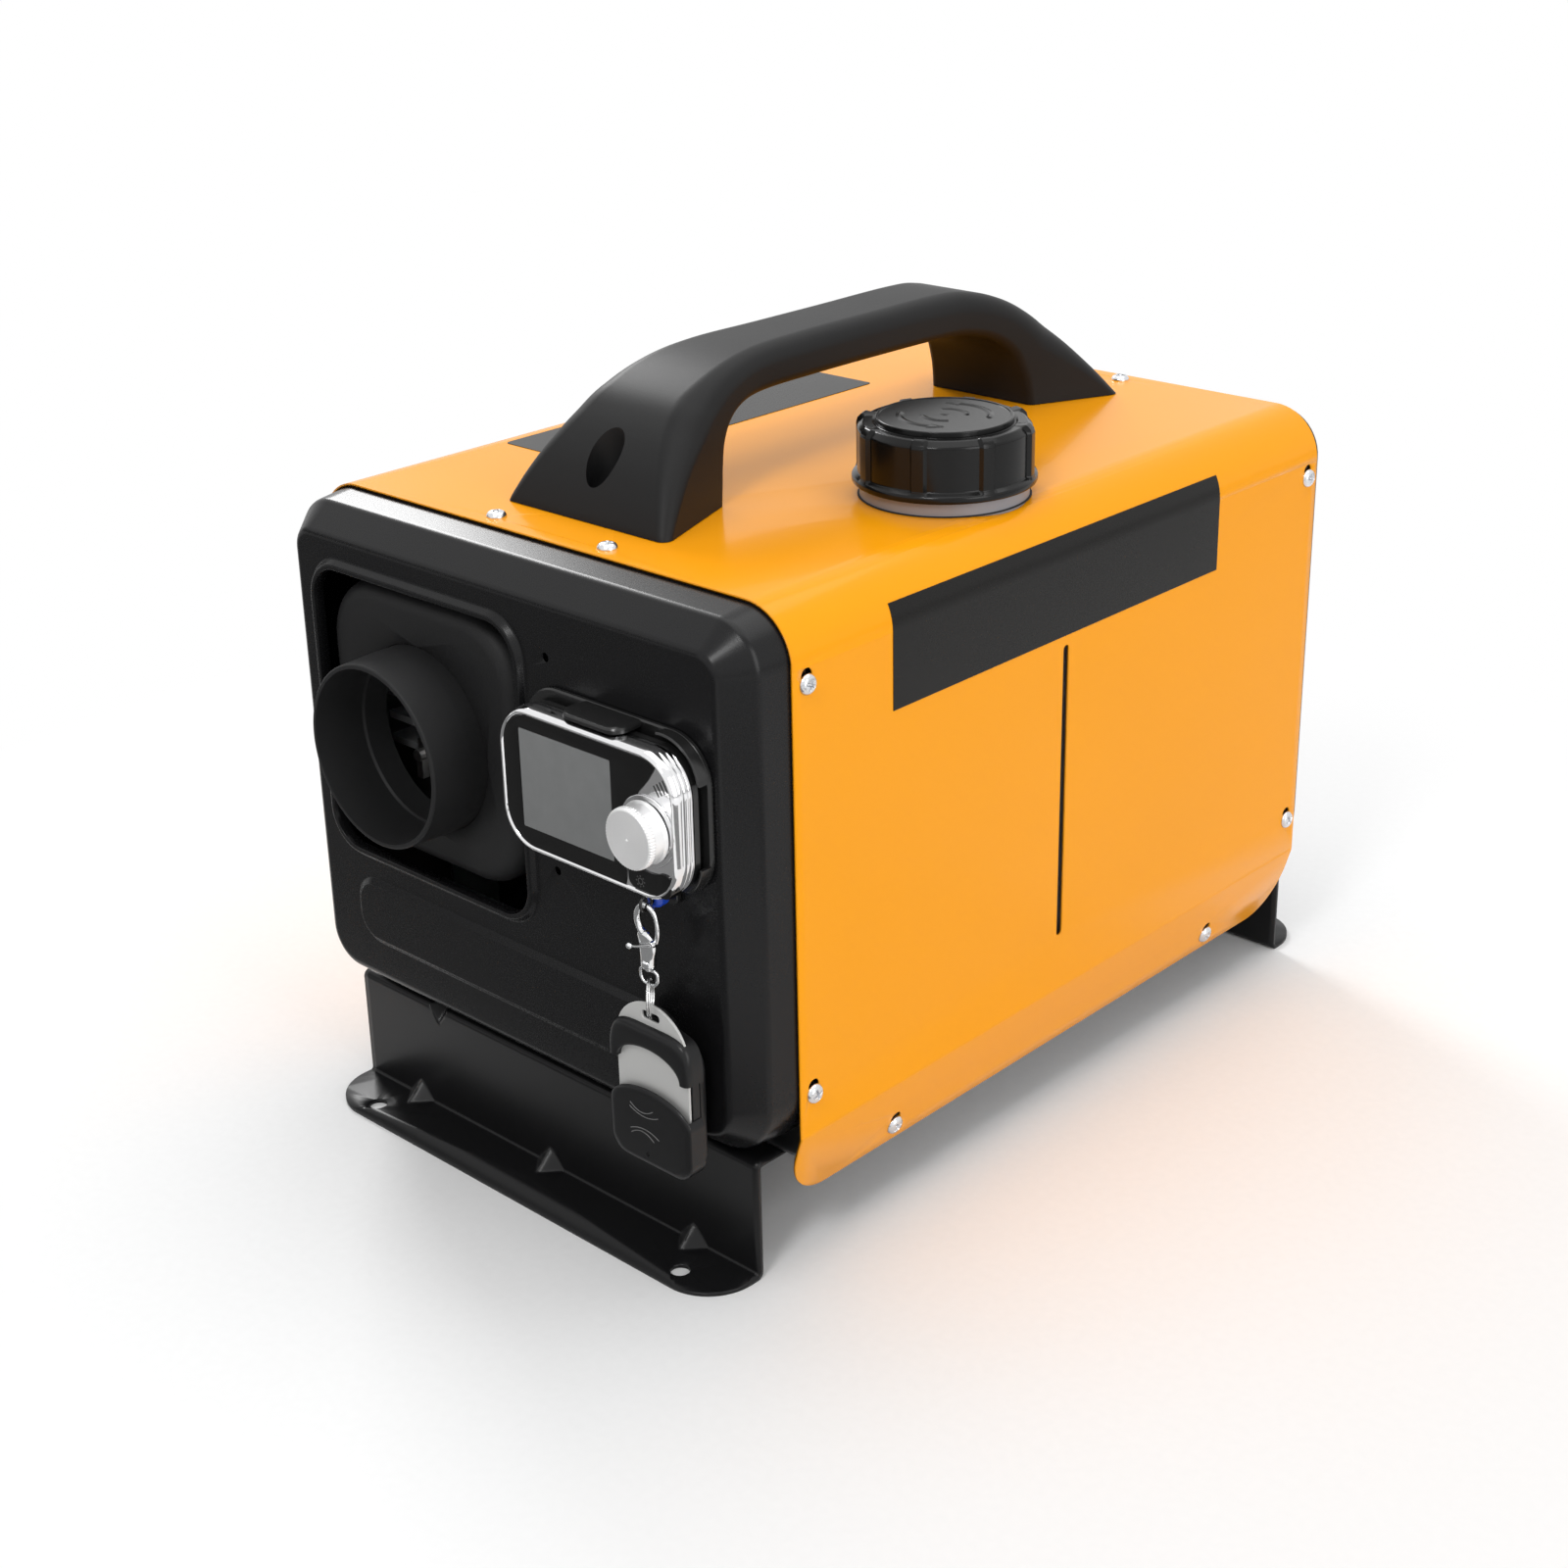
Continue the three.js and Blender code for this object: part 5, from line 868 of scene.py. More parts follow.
def build_handle():
    """The carry handle: sections between an outer and an inner curve, of two widths, rounded.

    The outer curve is (y, height, half width) and the inner one (y, height). A section's point at
    share h of its height lies at inner + (outer - inner) h.
    """
    seat = TOP + 0.3
    outer = [(24, 0, 45.8), (25.2, 3, 45.2), (30, 12, 43), (37, 22.5, 39.8), (48, 34.5, 35.8),
             (60, 43.5, 31.2), (80, 50.8, 26), (103, 54.3, 21.8), (135, 54.9, 20), (175, 55, 20),
             (219, 55, 21), (238, 53, 23), (256, 47.3, 26), (272, 38.3, 30), (287, 26, 36),
             (299, 12, 42.5), (307, 0, 47.5)]
    inner = [(73, 0), (73.3, 3), (73.8, 8), (74.4, 15), (76.2, 24), (81.5, 31.5), (91, 35.8),
             (106, 37.3), (135, 37.3), (173, 37.3), (213, 37.1), (231, 36), (246, 31.5),
             (257, 23.5), (262.3, 13), (264.4, 5), (265, 0)]
    outer, inner = smooth_line(outer), smooth_line(inner)
    wide = np.interp(inner[:, 0], outer[:, 0], outer[:, 2])
    length = np.linalg.norm(outer[:, :2] - inner, axis=1)
    corners = np.stack([
        np.stack([-wide, 0 * wide], -1), np.stack([wide, 0 * wide], -1),
        np.stack([outer[:, 2], length], -1), np.stack([-outer[:, 2], length], -1),
    ], 1)
    edge = np.minimum(11, length * 0.45)
    edge = edge * np.clip(0.35 + 0.65 * np.minimum(outer[:, 1], 60) / 34, 0.35, 1)
    radii = np.stack([0 * edge + 4, 0 * edge + 4, edge, edge], 1)
    loops = fillet(corners, radii, 8)
    share = loops[..., 1] / length[:, None]
    yz = inner[:, None, :] + (outer[:, None, :2] - inner[:, None, :]) * share[..., None]
    points = np.stack([loops[..., 0], yz[..., 0], yz[..., 1] + seat], -1)
    body = Surface().grid(points)
    for end in (0, -1):
        ring = points[end].copy()
        ring[:, 2] = seat
        body.patch([ring[:, :2]], lambda flat: at_z(flat, seat))
    piece = add_piece("grip_bar", body, "handle_grain", "casing",
                      ["carry_handle"])
    for y in HANDLE_SCREWS_Y:
        line = soft([(0, seat - 3), (2.8, seat - 3), (2.8, seat + 4), (7.6, seat + 4),
                     (8, seat + 60), (0, seat + 60)],
                    [0, 0, 0, 0.8, 0, 0], 4)
        carve(piece, Surface().turned(line, (0, y), at_z, 48))
    dress(["handle_screw_front", "handle_screw_rear"], "zinc_screw")


def build_cap():
    """The filler cap: a turned profile with eight ribs and raised arrows that show the turn.

    Radius = profile + 1.5 rib(t) on the wall; height = profile + 0.7 rib(t) on the shoulder and
    + 0.4 where an arc, an arrow's head or the middle dot lies on the disc.
    """
    z = TOP + 5.6
    top = TOP + 29.8
    line = soft([(31.4, z), (36.2, z), (36.2, z + 2.8), (33.9, z + 4.2), (33.9, top - 2.8),
                 (31.6, top - 0.5), (28.2, top - 0.5), (26.9, top - 1.2), (26.7, top + 1.5),
                 (25.6, top + 1.5)],
                [0, 1.2, 1.3, 0.8, 1.6, 1.4, 0.5, 0.3, 0.5, 0], 5)
    # The straight wall between the third and the fourth rounding gets points of its own.
    wall = np.linspace(line[18], line[19], 14)[1:-1]
    line = np.concatenate([line[:19], wall, line[19:]])
    disc = np.stack([np.linspace(25.4, 0.0, 46), np.full(46, top + 1.2)], -1)
    line = np.concatenate([line, disc])
    steps = 384
    t = np.linspace(0, 2 * math.pi, steps, endpoint=False)
    near = (t / (math.pi / 4)) % 1 - 0.5
    rib = np.clip((2.75 + 0.45 - np.abs(near) * math.pi / 4 * 34) / 0.9, 0, 1)
    rib = rib * rib * (3 - 2 * rib)
    r, h = line.T
    on_wall = np.clip((h - z - 3) / 1.2, 0, 1) * np.clip((r - 29.5) / 2.5, 0, 1)
    swell = 1.5 * on_wall[:, None] * rib
    raise_rib = 0.7 * (np.clip((r - 29.5) / 2, 0, 1) * (h > top - 2.5))[:, None] * rib
    turn = np.degrees(t)
    marks = np.zeros((len(line), steps))
    for start, stop in ((25, 128), (205, 308)):
        along = (turn - start) / (stop - start)
        head = np.clip((along - 0.82) / 0.18, 0, 1)
        half = np.where(along > 0.82, 2.4 * (1 - head), 0.75)
        band = np.clip((half - np.abs(r[:, None] - 17.5)) / 0.35 + 0.5, 0, 1)
        marks = np.maximum(marks, band * ((along > 0) & (along < 1)))
    arc = np.clip((5.0 - np.abs(r - 8.6) * 6) / 2, 0, 1)
    marks = np.maximum(marks, arc[:, None] * (np.abs((turn % 180) - 90) < 48))
    marks = np.maximum(marks, np.clip(1.3 - r, 0, 1)[:, None] + 0 * t)
    raised = 0.4 * marks * (r < 25)[:, None]
    cap = Surface().turned(line, FILLER, at_z, steps, swell, raise_rib + raised)
    cap.turned([(31.4, z), (31.4, top - 4.6), (0, top - 4.6)], FILLER, at_z, steps)
    add_piece("cap_body", cap, "cap_gloss", "cap", ["filler_cap"], crease=38)


def build_neck():
    """The grey collar of the tank's neck and the black ring that seals it to the shell, both
    closed profiles turned about the filler's axis."""
    line = soft([(30.5, TOP + 5.5), (32.7, TOP + 5.5), (33.15, TOP + 5.1), (33.15, TOP + 2.4),
                 (33.22, TOP - 2), (30.5, TOP - 2), (30.5, TOP + 5.5)],
                [0, 0.3, 0.4, 0.3, 0.2, 0, 0], 4)
    collar = Surface().turned(line, FILLER, at_z, 120)
    add_piece("neck_collar", collar, "tank_grey", "casing")
    line = soft([(33.2, TOP + 0.05), (34.0, TOP + 0.05), (33.9, TOP + 0.4), (33.2, TOP + 0.55),
                 (33.2, TOP + 0.05)], [0, 0.1, 0.2, 0.1, 0], 3)
    ring = Surface().turned(line, FILLER, at_z, 120)
    add_piece("neck_ring", ring, "seal_rubber", "casing", ["neck_seal"])


def build_duct():
    """The round outlet, a closed profile turned about its axis, and the cowl: a rounded rectangle
    drawn in along a rounded edge, with a flat front round the outlet's hole."""
    line = soft([(35.6, -47.4), (37.0, -47.4), (37.55, -46.9), (37.7, -43.5), (38.3, -29.4),
                 (38.3, -19.2), (42, -19.2), (42, -17.2), (38.3, -17.2), (38.3, -12.2),
                 (34.8, -12.2), (34.8, -23.4), (35.6, -24.4), (35.6, -47.4)],
                [0, 0.5, 0.5, 0.6, 0.8, 0.4, 0.3, 0.3, 0.3, 0.3, 0.3, 0.4, 0.4, 0], 4)
    outlet = Surface().turned(line, DUCT, steps=144)
    add_piece("duct_ring", outlet, "duct_grain", "casing", ["duct_outlet"])
    cowl = Surface()
    rect = (DUCT[0] - 55.5, DUCT[0] + 55.5, 127.5, 240, 28, 28)
    front = cowl.pan(rect, soft([(0, -0.3), (0, -22), (12, -22)], [0, 7, 0], 10), 14)[-1]
    cowl.patch([front, circle(*DUCT, 38.6, 96)], lambda flat: at_y(flat, -22))
    add_piece("cowl_front", cowl, "duct_grain", "casing", ["heater_cowl"],
              (0, -1, 0), 2.4)


def screw_surface(places):
    """Pan heads with crossed recesses: h(r) is a dome less 1.3 in the cross, on a polar grid."""
    steps, rings = 48, np.concatenate([np.linspace(0, 3, 17), [3.3, 3.6, 3.85, 4.0, 4.0, 4.0]])
    dome = np.interp(rings, [0, 1.5, 2.6, 3.3, 3.7, 3.95, 4.0],
                     [2.35, 2.25, 2.0, 1.6, 1.1, 0.6, 0.45])
    dome[-2:] = [0.2, -0.3]
    t = np.linspace(0, 2 * math.pi, steps, endpoint=False)
    u, v = rings[:, None] * np.cos(t), rings[:, None] * np.sin(t)
    arms = [np.clip((0.55 - np.abs(a)) / 0.25, 0, 1) * np.clip((2.3 - np.abs(b)) / 0.4, 0, 1)
            for a, b in ((u, v), (v, u))]
    height = dome[:, None] - 1.3 * np.maximum(*arms) * (rings < 3)[:, None]
    surface = Surface()
    for k, (point, normal) in enumerate(places):
        normal = unit(np.array(normal, float))
        side = unit(np.cross(normal, (0.0, 1.0, 0.0)))
        up = np.cross(side, normal)
        spin = 0.7 * k + 0.4
        side, up = (side * math.cos(spin) + up * math.sin(spin),
                    up * math.cos(spin) - side * math.sin(spin))
        flat = np.array(point) + u[..., None] * side + v[..., None] * up
        head = flat + height[..., None] * normal
        surface.grid(head)
        surface.grid(np.stack([head[-1], 0 * head[-1] + np.array(point) - 0.3 * normal]))
    return surface


def build_screws():
    """Sixteen case screws: eight on the sides, four on the skirts and four on the top."""
    places = []
    for way in (-1, 1):
        places += [((way * HALF, y, z), (way, 0, 0)) for y in END_SCREWS_Y for z in SIDE_SCREWS_Z]
        x = skirt_x(SKIRT_SCREWS_Z, 0)
        lean = (way * math.cos(LEAN), 0, -math.sin(LEAN))
        places += [((way * x, y, SKIRT_SCREWS_Z), lean) for y in SKIRT_SCREWS_Y]
        places += [((way * TOP_SCREW_X, y, TOP), (0, 1e-6, 1)) for y in TOP_SCREWS_Y]
    add_piece("case_screws", screw_surface(places), "zinc_screw", "casing", crease=38)


def face_outline():
    """Outline of the gloss plate: round on the left, cut slantwise towards the knob's end."""
    x0, z0, z1, r = 24.0, 168.3, 220.0, 14.0
    cut = smooth_line([(86.2, z0), (86.8, 171), (87.3, 177), (87.0, 186), (87.2, 193),
                       (89.2, 199.2), (94.4, 205.7), (99.6, 211.5), (102.6, 216),
                       (103.4, 217.8)], 4)
    return np.concatenate([
        bow(x0 + r, z0 + r, r, r, 180, 270, 14), cut, bow(96.5, z1 - r, 13.95, 13.95, 61, 90, 6),
        bow(x0 + r, z1 - r, r, r, 90, 180, 14),
    ])


def build_bezel():
    """The chrome rim: a pan whose right end is fluted, and a crest round the gloss plate.

    A point moves in along its outward normal by 1.05 |sin(pi (y + 39.2) / 2)| to the power 0.7,
    faded out from the right end to the left and on the top and bottom.
    """
    y = np.concatenate([[-32.6, -32.8], np.linspace(-33.2, -39.2, 37), np.linspace(-39.4, -41, 10),
                        [-41.3, -41.6, -41.85, -42.0, -42.05, -42.0, -41.85, -41.6, -41.2, -41.19]])
    inset = np.interp(-y, [32.6, 32.8, 34, 36.3, 38.4, 39.3, 40.1, 41.0],
                      [1.2, 0.7, 0.2, 0, 0.2, 0.35, 0.55, 0.9])
    inset[-10:] = [1.1, 1.35, 1.6, 1.85, 2.05, 2.25, 2.45, 2.65, 2.95, 8]
    bezel = Surface()
    loops = Surface().pan(BEZEL_RECT, np.stack([inset, y], -1), 16)
    out = unit(np.roll(loops, -1, 1) - np.roll(loops, 1, 1))[..., ::-1] * (1, -1)
    right = np.clip((loops[..., 0] - 101) / 6, 0, 1)
    right = right * np.clip((np.abs(out[..., 0]) - 0.25) / 0.4, 0, 1)
    flute = 1.05 * np.abs(np.sin((y + 39.2) / 2.0 * math.pi)) ** 0.7 * ((y < -33.2) & (y > -39.2))
    loops = loops - out * (right * flute[:, None])[..., None]
    bezel.grid(at_y(loops, y[:, None]))
    bezel.patch([loops[0]], lambda flat: at_y(flat, y[0]))
    bezel.patch([loops[-1]], lambda flat: at_y(flat, y[-1]))
    add_piece("bezel_rim", bezel, "chrome", "casing", ["controller_bezel"],
              crease=50)


def build_face():
    """The gloss plate round the screen, the screen, the vent slits, and the key with its icon.

    All but the slits are flat outlines with eased edges, and a slit is a thin wire sunk into the
    rim. The key's outline is a rounded rectangle whose top follows a circle about the knob.
    """
    window = rounded(32.5, 80.9, 175.3, 214.5, 0.6, steps=3)
    plate = Surface().plate([face_outline(), window], [(0.2, -41.62), (0, -41.5), (0, -40.2)])
    add_piece("face_plate", plate, "gloss_black", "casing", ["controller_face"])
    screen = Surface().plate([rounded(32.7, 80.7, 175.5, 214.3, 0.5, steps=3)],
                             [(0.1, -41.5), (0, -41.4), (0, -41.21)])
    add_piece("screen_panel", screen, "screen_glass", "casing",
              ["controller_screen"])
    slits = Surface()
    for k in range(4):
        share = np.linspace(0, 1, 6)[:, None]
        start = np.array((102.4 + 1.5 * k, 210.9 + 1.05 * k))
        stop = np.array((104.9 + 1.5 * k, 207.2 + 0.9 * k))
        slits.tube(at_y(start + (stop - start) * share, -41.06), 0.33, (0, 1, 0), 8)
    add_piece("vent_slits", slits, "gloss_black", "casing")

    dip = bow(*KNOB, 15.8, 15.8, -66, -114, 16)
    arcs = rounded(88, 109.6, 168.6, 178.4, 3.6, 2.2, 6).reshape(4, 7, 2)
    lens = np.concatenate([arcs[0], arcs[1], dip, arcs[2], arcs[3]])
    key = Surface().plate([lens], [(0.5, -41.9), (0.12, -41.75), (0, -41.4), (0, -36.3)])
    add_piece("lens_key", key, "gloss_black", "power_key", ["power_button"])
    icon = Surface().plate([circle(94.4, 172.2, 1.35, 24), circle(94.4, 172.2, 0.95, 24)],
                           [(0, -41.93), (0, -41.88)])
    spot = np.array([(1.75, -0.28), (2.3, -0.28), (2.3, 0.28), (1.75, 0.28)])
    for k in range(8):
        a = k * math.pi / 4
        turn = np.array([(math.cos(a), math.sin(a)), (-math.sin(a), math.cos(a))])
        icon.plate([spot @ turn + (94.4, 172.2)], [(0, -41.93), (0, -41.88)])
    add_piece("key_icon", icon, "icon_grey", "power_key")


def build_knob():
    """The knurled knob, r - 0.16 (1 - cos(knurls t)) on its band, and its seat in the chrome."""
    steps = 480
    line = soft([(0, -51), (0.4, -51), (0.55, -51.3), (10.6, -51.3), (11.5, -50.7), (11.7, -48.7),
                 (11.1, -48.4), (11.2, -44), (11.8, -42.9), (11.8, -42.8), (0, -42.8)],
                [0, 0, 0.05, 0.25, 0.4, 0.1, 0.3, 1.2, 0.1, 0, 0], 4)
    t = np.linspace(0, 2 * math.pi, steps, endpoint=False)
    band = ((line[:, 1] < -48.65) & (line[:, 0] > 10.9)).astype(float)
    knurls = bpy.context.scene.heater_sizes.knurls
    knurl = -0.32 * (0.5 - 0.5 * np.cos(knurls * t)) * band[:, None]
    knob = Surface().turned(line, KNOB, steps=steps, swell=knurl)
    add_piece("dial", knob, "spun_metal", "knob", ["control_knob"], crease=40)
    line = soft([(11.3, -41.25), (13.6, -41.25), (13.3, -41.9), (11.9, -42.2), (11.3, -41.9),
                 (11.3, -41.25)], [0, 0.2, 0.4, 0.3, 0.2, 0], 4)
    collar = Surface().turned(line, KNOB, steps=96)
    add_piece("dial_seat", collar, "chrome", "casing")


def build_holder():
    """The controller's back, and the clip holder with its tab, lips, eye and blue grommet.

    A lip is the band between two arcs about the plate's corner; the eye is a wire round a circle.
    """
    back = Surface()
    loops = back.pan((21.6, 112.9, 165.9, 222.4, 16.4, 16.4),
                     soft([(2.4, -27.8), (0, -29.8), (0, -32.55)], [0, 1.2, 0], 4), 14)
    back.patch([loops[0]], lambda flat: at_y(flat, -27.8))
    back.patch([loops[-1]], lambda flat: at_y(flat, -32.55))
    add_piece("controller_shell", back, "holder_black", "casing",
              ["controller_back"])

    holder = Surface().plate([rounded(20, 115.5, 163.8, 226, 18, steps=14)],
                             [(0.2, -25.3), (0, -25.6), (0, -26.9), (0.6, -27.5)])
    tab = fillet([(53, -25.6), (52, -40.4), (84, -40.4), (83, -25.6)], [2, 6, 6, 2], 8)[0]
    holder.plate([tab], [(0.5, 223.2), (0, 223.6), (0, 224.8), (0.5, 225.5), (1.4, 225.8)], at_z)
    centre = 115.5 - 18, 226 - 18
    for start, stop in ((100, 8), (-10, -46)):
        rim = bow(*centre, 18, 18, start, stop, 24)
        core = bow(*centre, 16.9, 16.9, stop, start, 24)
        lip = np.concatenate([rim, core]) - (0, 0 if start > 0 else 226 - 163.8 - 36)
        holder.plate([lip], [(0, -27.2), (0, -31.6), (0.25, -32)])
    holder.plate([rounded(87.5, 97.5, 157.5, 168.3, 3)],
                 [(0.1, -25.3), (0, -25.6), (0, -27.1), (0.4, -27.5)])
    x, y, z = CHAIN[0], CHAIN[1], 161.5
    holder.tube([(x, y + 2.9, z), (x, -32, z), (x, -27.2, z)], [0.6, 0.7, 1.1], (0, 0, 1))
    t = np.linspace(0, 2 * math.pi, 40, endpoint=False)
    ring = np.stack([x + 0 * t, y + 2.8 * np.cos(t), z + 2.8 * np.sin(t)], -1)
    holder.tube(ring, 0.6, (1, 0, 0), 12, closed=True)
    add_piece("clip_holder", holder, "holder_black", "casing",
              ["controller_holder"])
    line = soft([(1.2, -35.1), (2.5, -35.1), (3.4, -33), (3.2, -29.5), (1.2, -27.6), (1.2, -35.1)],
                [0, 0.8, 1, 1, 0, 0], 5)
    bead = Surface().turned(line, (x, z), steps=40)
    add_piece("hook_grommet", bead, "bead_blue", "casing")


def tapered(line, shares, radii):
    """Radii for the points of a wire, given at shares of the way along it."""
    return np.interp(np.linspace(0, 1, len(line)), shares, radii)


def build_clasp():
    """Lobster clasp, gate with thumb lever, swivel bail and split ring, as wires and lofts.

    The clasp's body is a stack of squared-off ellipses, x = mid + wide bulge(cos t) and
    y = deep bulge(sin t), with mid, wide and deep read off its height. The split ring is a wire
    that goes round twice and steps across by its own thickness half way.
    """
    x, y = CHAIN
    clasp = Surface()
    path = at_y(bow(x, 154.8, 4.9, 5.9, 250, 22, 44), y)
    clasp.tube(path, tapered(path, [0, 0.15, 0.8, 1], [1.6, 1.35, 1.15, 0.8]), (0, 1, 0), 14)
    z = np.linspace(137.5, 150.2, 24)
    wide = np.interp(z, [137.5, 140, 144, 148, 150.2], [2.9, 3.1, 4.0, 4.2, 2.2])
    deep = np.interp(z, [137.5, 141, 145, 149, 150.2], [2.6, 2.1, 1.6, 1.5, 0.9])
    mid = np.interp(z, [137.5, 143, 147, 150.2], [0, 0, -0.3, -1.9])
    t = np.linspace(0, 2 * math.pi, 28, endpoint=False)
    loft = np.stack([x + mid[:, None] + wide[:, None] * bulge(np.cos(t), 0.8),
                     y + deep[:, None] * bulge(np.sin(t), 0.8), z[:, None] + 0 * t], -1)
    ends = [np.broadcast_to(loft[k].mean(0), loft[k].shape) for k in (0, -1)]
    clasp.grid(np.concatenate([ends[:1], loft, ends[1:]]))
    collar = soft([(1.4, 136), (2.5, 136), (2.9, 137), (2.9, 138.6), (2.3, 139.4), (0, 139.6)],
                  [0, 0.4, 0.5, 0.4, 0.3, 0], 4)
    clasp.turned(np.concatenate([[(0, 138.6), (1.4, 138.6)], collar]), CHAIN, at_z, 36)
    add_piece("clasp_hook", clasp, "clasp_chrome", "clasp", ["clasp_body"],
              crease=45)

    gate = Surface()
    bend = smooth_line([(x + 3.4, 146.2), (x + 4.5, 147.6), (x + 5.3, 151), (x + 5.1, 154.6),
                        (x + 4.4, 157.7)], 5)
    gate.tube(at_y(bend, y), tapered(bend, [0, 0.2, 1], [1.0, 0.95, 0.7]), (0, 1, 0), 12)
    lever = smooth_line([(x + 4.2, y - 2.2, 147), (x, y - 2.3, 145.4), (x - 4, y - 2.3, 143.9),
                         (x - 6.6, y - 2.2, 143.2)], 5)
    gate.tube(lever, tapered(lever, [0, 0.3, 1], [0.85, 0.6, 0.5]), (0, 1, 0), 10)
    t = np.linspace(0, math.pi, 13)
    ball = np.stack([1.35 * np.sin(t), 143.1 - 1.35 * np.cos(t)], -1)
    gate.turned(ball, (x - 7.3, y - 2.2), at_z, 24)
    rivet = soft([(0, y - 2.9), (1.3, y - 2.8), (1.35, y - 1.6), (1.35, y - 0.4), (0, y - 0.4)],
                 [0, 0.3, 0.2, 0, 0], 4)
    gate.turned(rivet, (x + 3.9, 147), steps=24)
    add_piece("gate_latch", gate, "clasp_chrome", "gate", ["clasp_gate"], crease=45)

    swivel = Surface()
    bail = rounded(x - 4.35, x + 4.35, 129.15, 135.05, 3.0, 1.6, 8)
    swivel.tube(at_y(bail, y), 0.66, (0, 1, 0), 12, closed=True)
    swivel.turned(soft([(0, 134.6), (1.3, 134.6), (1.3, 138.4), (0, 138.4)], [0, 0.2, 0.2, 0], 3),
                  CHAIN, at_z, 20)
    add_piece("swivel_bail", swivel, "clasp_chrome", "swivel", ["clasp_swivel"],
              crease=45)

    t = np.linspace(0, 4 * math.pi, 150)
    side = 0.42 * np.clip((t - 2 * math.pi) / 0.9, -1, 1)
    turn = math.radians(40)
    across, along = (math.cos(turn), math.sin(turn)), (math.sin(turn), -math.cos(turn))
    ring = np.stack([x + side * across[0] + 7.3 * np.sin(t) * along[0],
                     y + side * across[1] + 7.3 * np.sin(t) * along[1],
                     123.7 + 7.3 * np.cos(t)], -1)
    wire = Surface().tube(ring, 0.42, (*across, 0), 10)
    add_piece("key_ring", wire, "bright_wire", "ring", ["split_ring"], crease=45)


def build_fob():
    """The remote: case, satin plate with its slot, hood, sliding cover with arcs, and keys.

    The hood runs from an outer to an inner arch: a point at share u lies at
    outer + (inner - outer) u, at the depth that its section gives for u. The rest are flat
    outlines with eased edges and, for the keys, turned profiles.
    """
    x = CHAIN[0]
    case = Surface().plate([arched(19.2, 55.8, 98, 111, 7)],
                           [(0.1, -37.2), (0, -37), (0, -34), (0.35, -33.8), (0.35, -33.5),
                            (0, -33.3), (0, -31.2), (0.5, -30.2), (1.4, -29.8)])
    add_piece("fob_body", case, "fob_gloss", "fob", ["fob_case"])
    slot = rounded(x - 4.5, x + 4.5, 114.3, 117.5, 1.3, steps=5)
    holes = [circle(a, b, 3.1, 28) for a, b in FOB_PLACES]
    plate = Surface().plate([arched(18.6, 57.8, 103, 121, 6), slot, *holes],
                            [(0.25, -38.5), (0, -38.3), (0, -37.7), (0.2, -37.5)])
    add_piece("fob_skin", plate, "fob_silver", "fob", ["fob_plate"])

    hood = Surface()
    t = np.linspace(0, math.pi, 65)[:, None]
    outer = np.concatenate([x + 21 * bulge(np.cos(t), 0.42), 95 + 17 * bulge(np.sin(t), 0.55)], 1)
    inner = np.concatenate([x + 16.5 * np.cos(t), 94.8 + 8.6 * np.sin(t)], 1)
    u, depth = np.array([(0, -33.3), (0, -38.2), (0.03, -39.4), (0.1, -40.3), (0.2, -40.9),
                         (0.35, -41.3), (0.55, -41.5), (0.85, -41.5), (0.96, -41.3), (1, -40.9),
                         (1, -38.8), (0.3, -38.8), (0.14, -38.4), (0.1, -33.3)]).T
    band = outer[:, None, :] + (inner - outer)[:, None, :] * u[:, None]
    section = at_y(band, depth)
    hood.grid(section)
    for end in (0, -1):
        hood.add(section[end], [tuple(range(len(u)))])
    add_piece("fob_cap", hood, "fob_gloss", "fob", ["fob_hood"], crease=40)

    cover = Surface().plate([arched(21, 54, 76, 86, 8)],
                            [(0.1, -40.2), (0, -40.3), (0.1, -40.7), (0.5, -41.15), (1.3, -41.5),
                             (2.6, -41.7)])
    lip = math.degrees(math.acos(19.5 / 21))
    wall = np.concatenate([
        bow(x + 13, 62, 8, 8, -90, 0, 10), bow(x, 76, 21, 9, 0, lip, 6),
        bow(x + 13, 62, 6.5, 6.5, 0, -90, 10), bow(x - 13, 62, 6.5, 6.5, 270, 180, 10),
        bow(x, 76, 21, 9, 180 - lip, 180, 6), bow(x - 13, 62, 8, 8, 180, 270, 10),
    ])
    cover.plate([wall], [(0, -40.4), (0, -33.6), (0.25, -33.3)])
    add_piece("fob_slide", cover, "fob_gloss", "fob_slider", ["fob_cover"], crease=40)
    # The arcs are real raised wires, and their light grey paints the highlight they catch on the
    # dark slide.
    marks = Surface()
    arcs = ((77.2, -2.4, 6.0, -3.6), (75.6, -2.0, 7.5, -2.4),
            (68.2, 2.0, 7.5, -2.4), (66.6, 2.4, 6.0, -3.6))
    for z, rise, reach, shift in arcs:
        u = np.linspace(-1, 1, 20)
        arc = np.stack([x + shift + reach * u, z - rise * u**2 + rise / 2], -1)
        marks.tube(at_y(arc, -41.72), 0.19, (0, 1, 0), 8)
    add_piece("slide_ridges_painted_highlight", marks, "fob_mark", "fob_slider")
    hole = Surface().plate([circle(x - 1.4, 58.7, 0.8, 20)], [(0, -41.74), (0, -41.68)])
    add_piece("lamp_hole", hole, "gloss_black", "fob_slider")
    for k, (a, b) in enumerate(FOB_PLACES):
        dome = soft([(0, -36.5), (2.8, -36.5), (2.8, -39.3), (2.2, -39.7), (0, -39.75)],
                    [0, 0.2, 0.5, 0.6, 0], 4)
        add_piece(f"rubber_key_{k + 1}", Surface().turned(dome, (a, b), steps=32), "seal_rubber",
                  f"fob_key_{k + 1}", [f"fob_button_{k + 1}"])


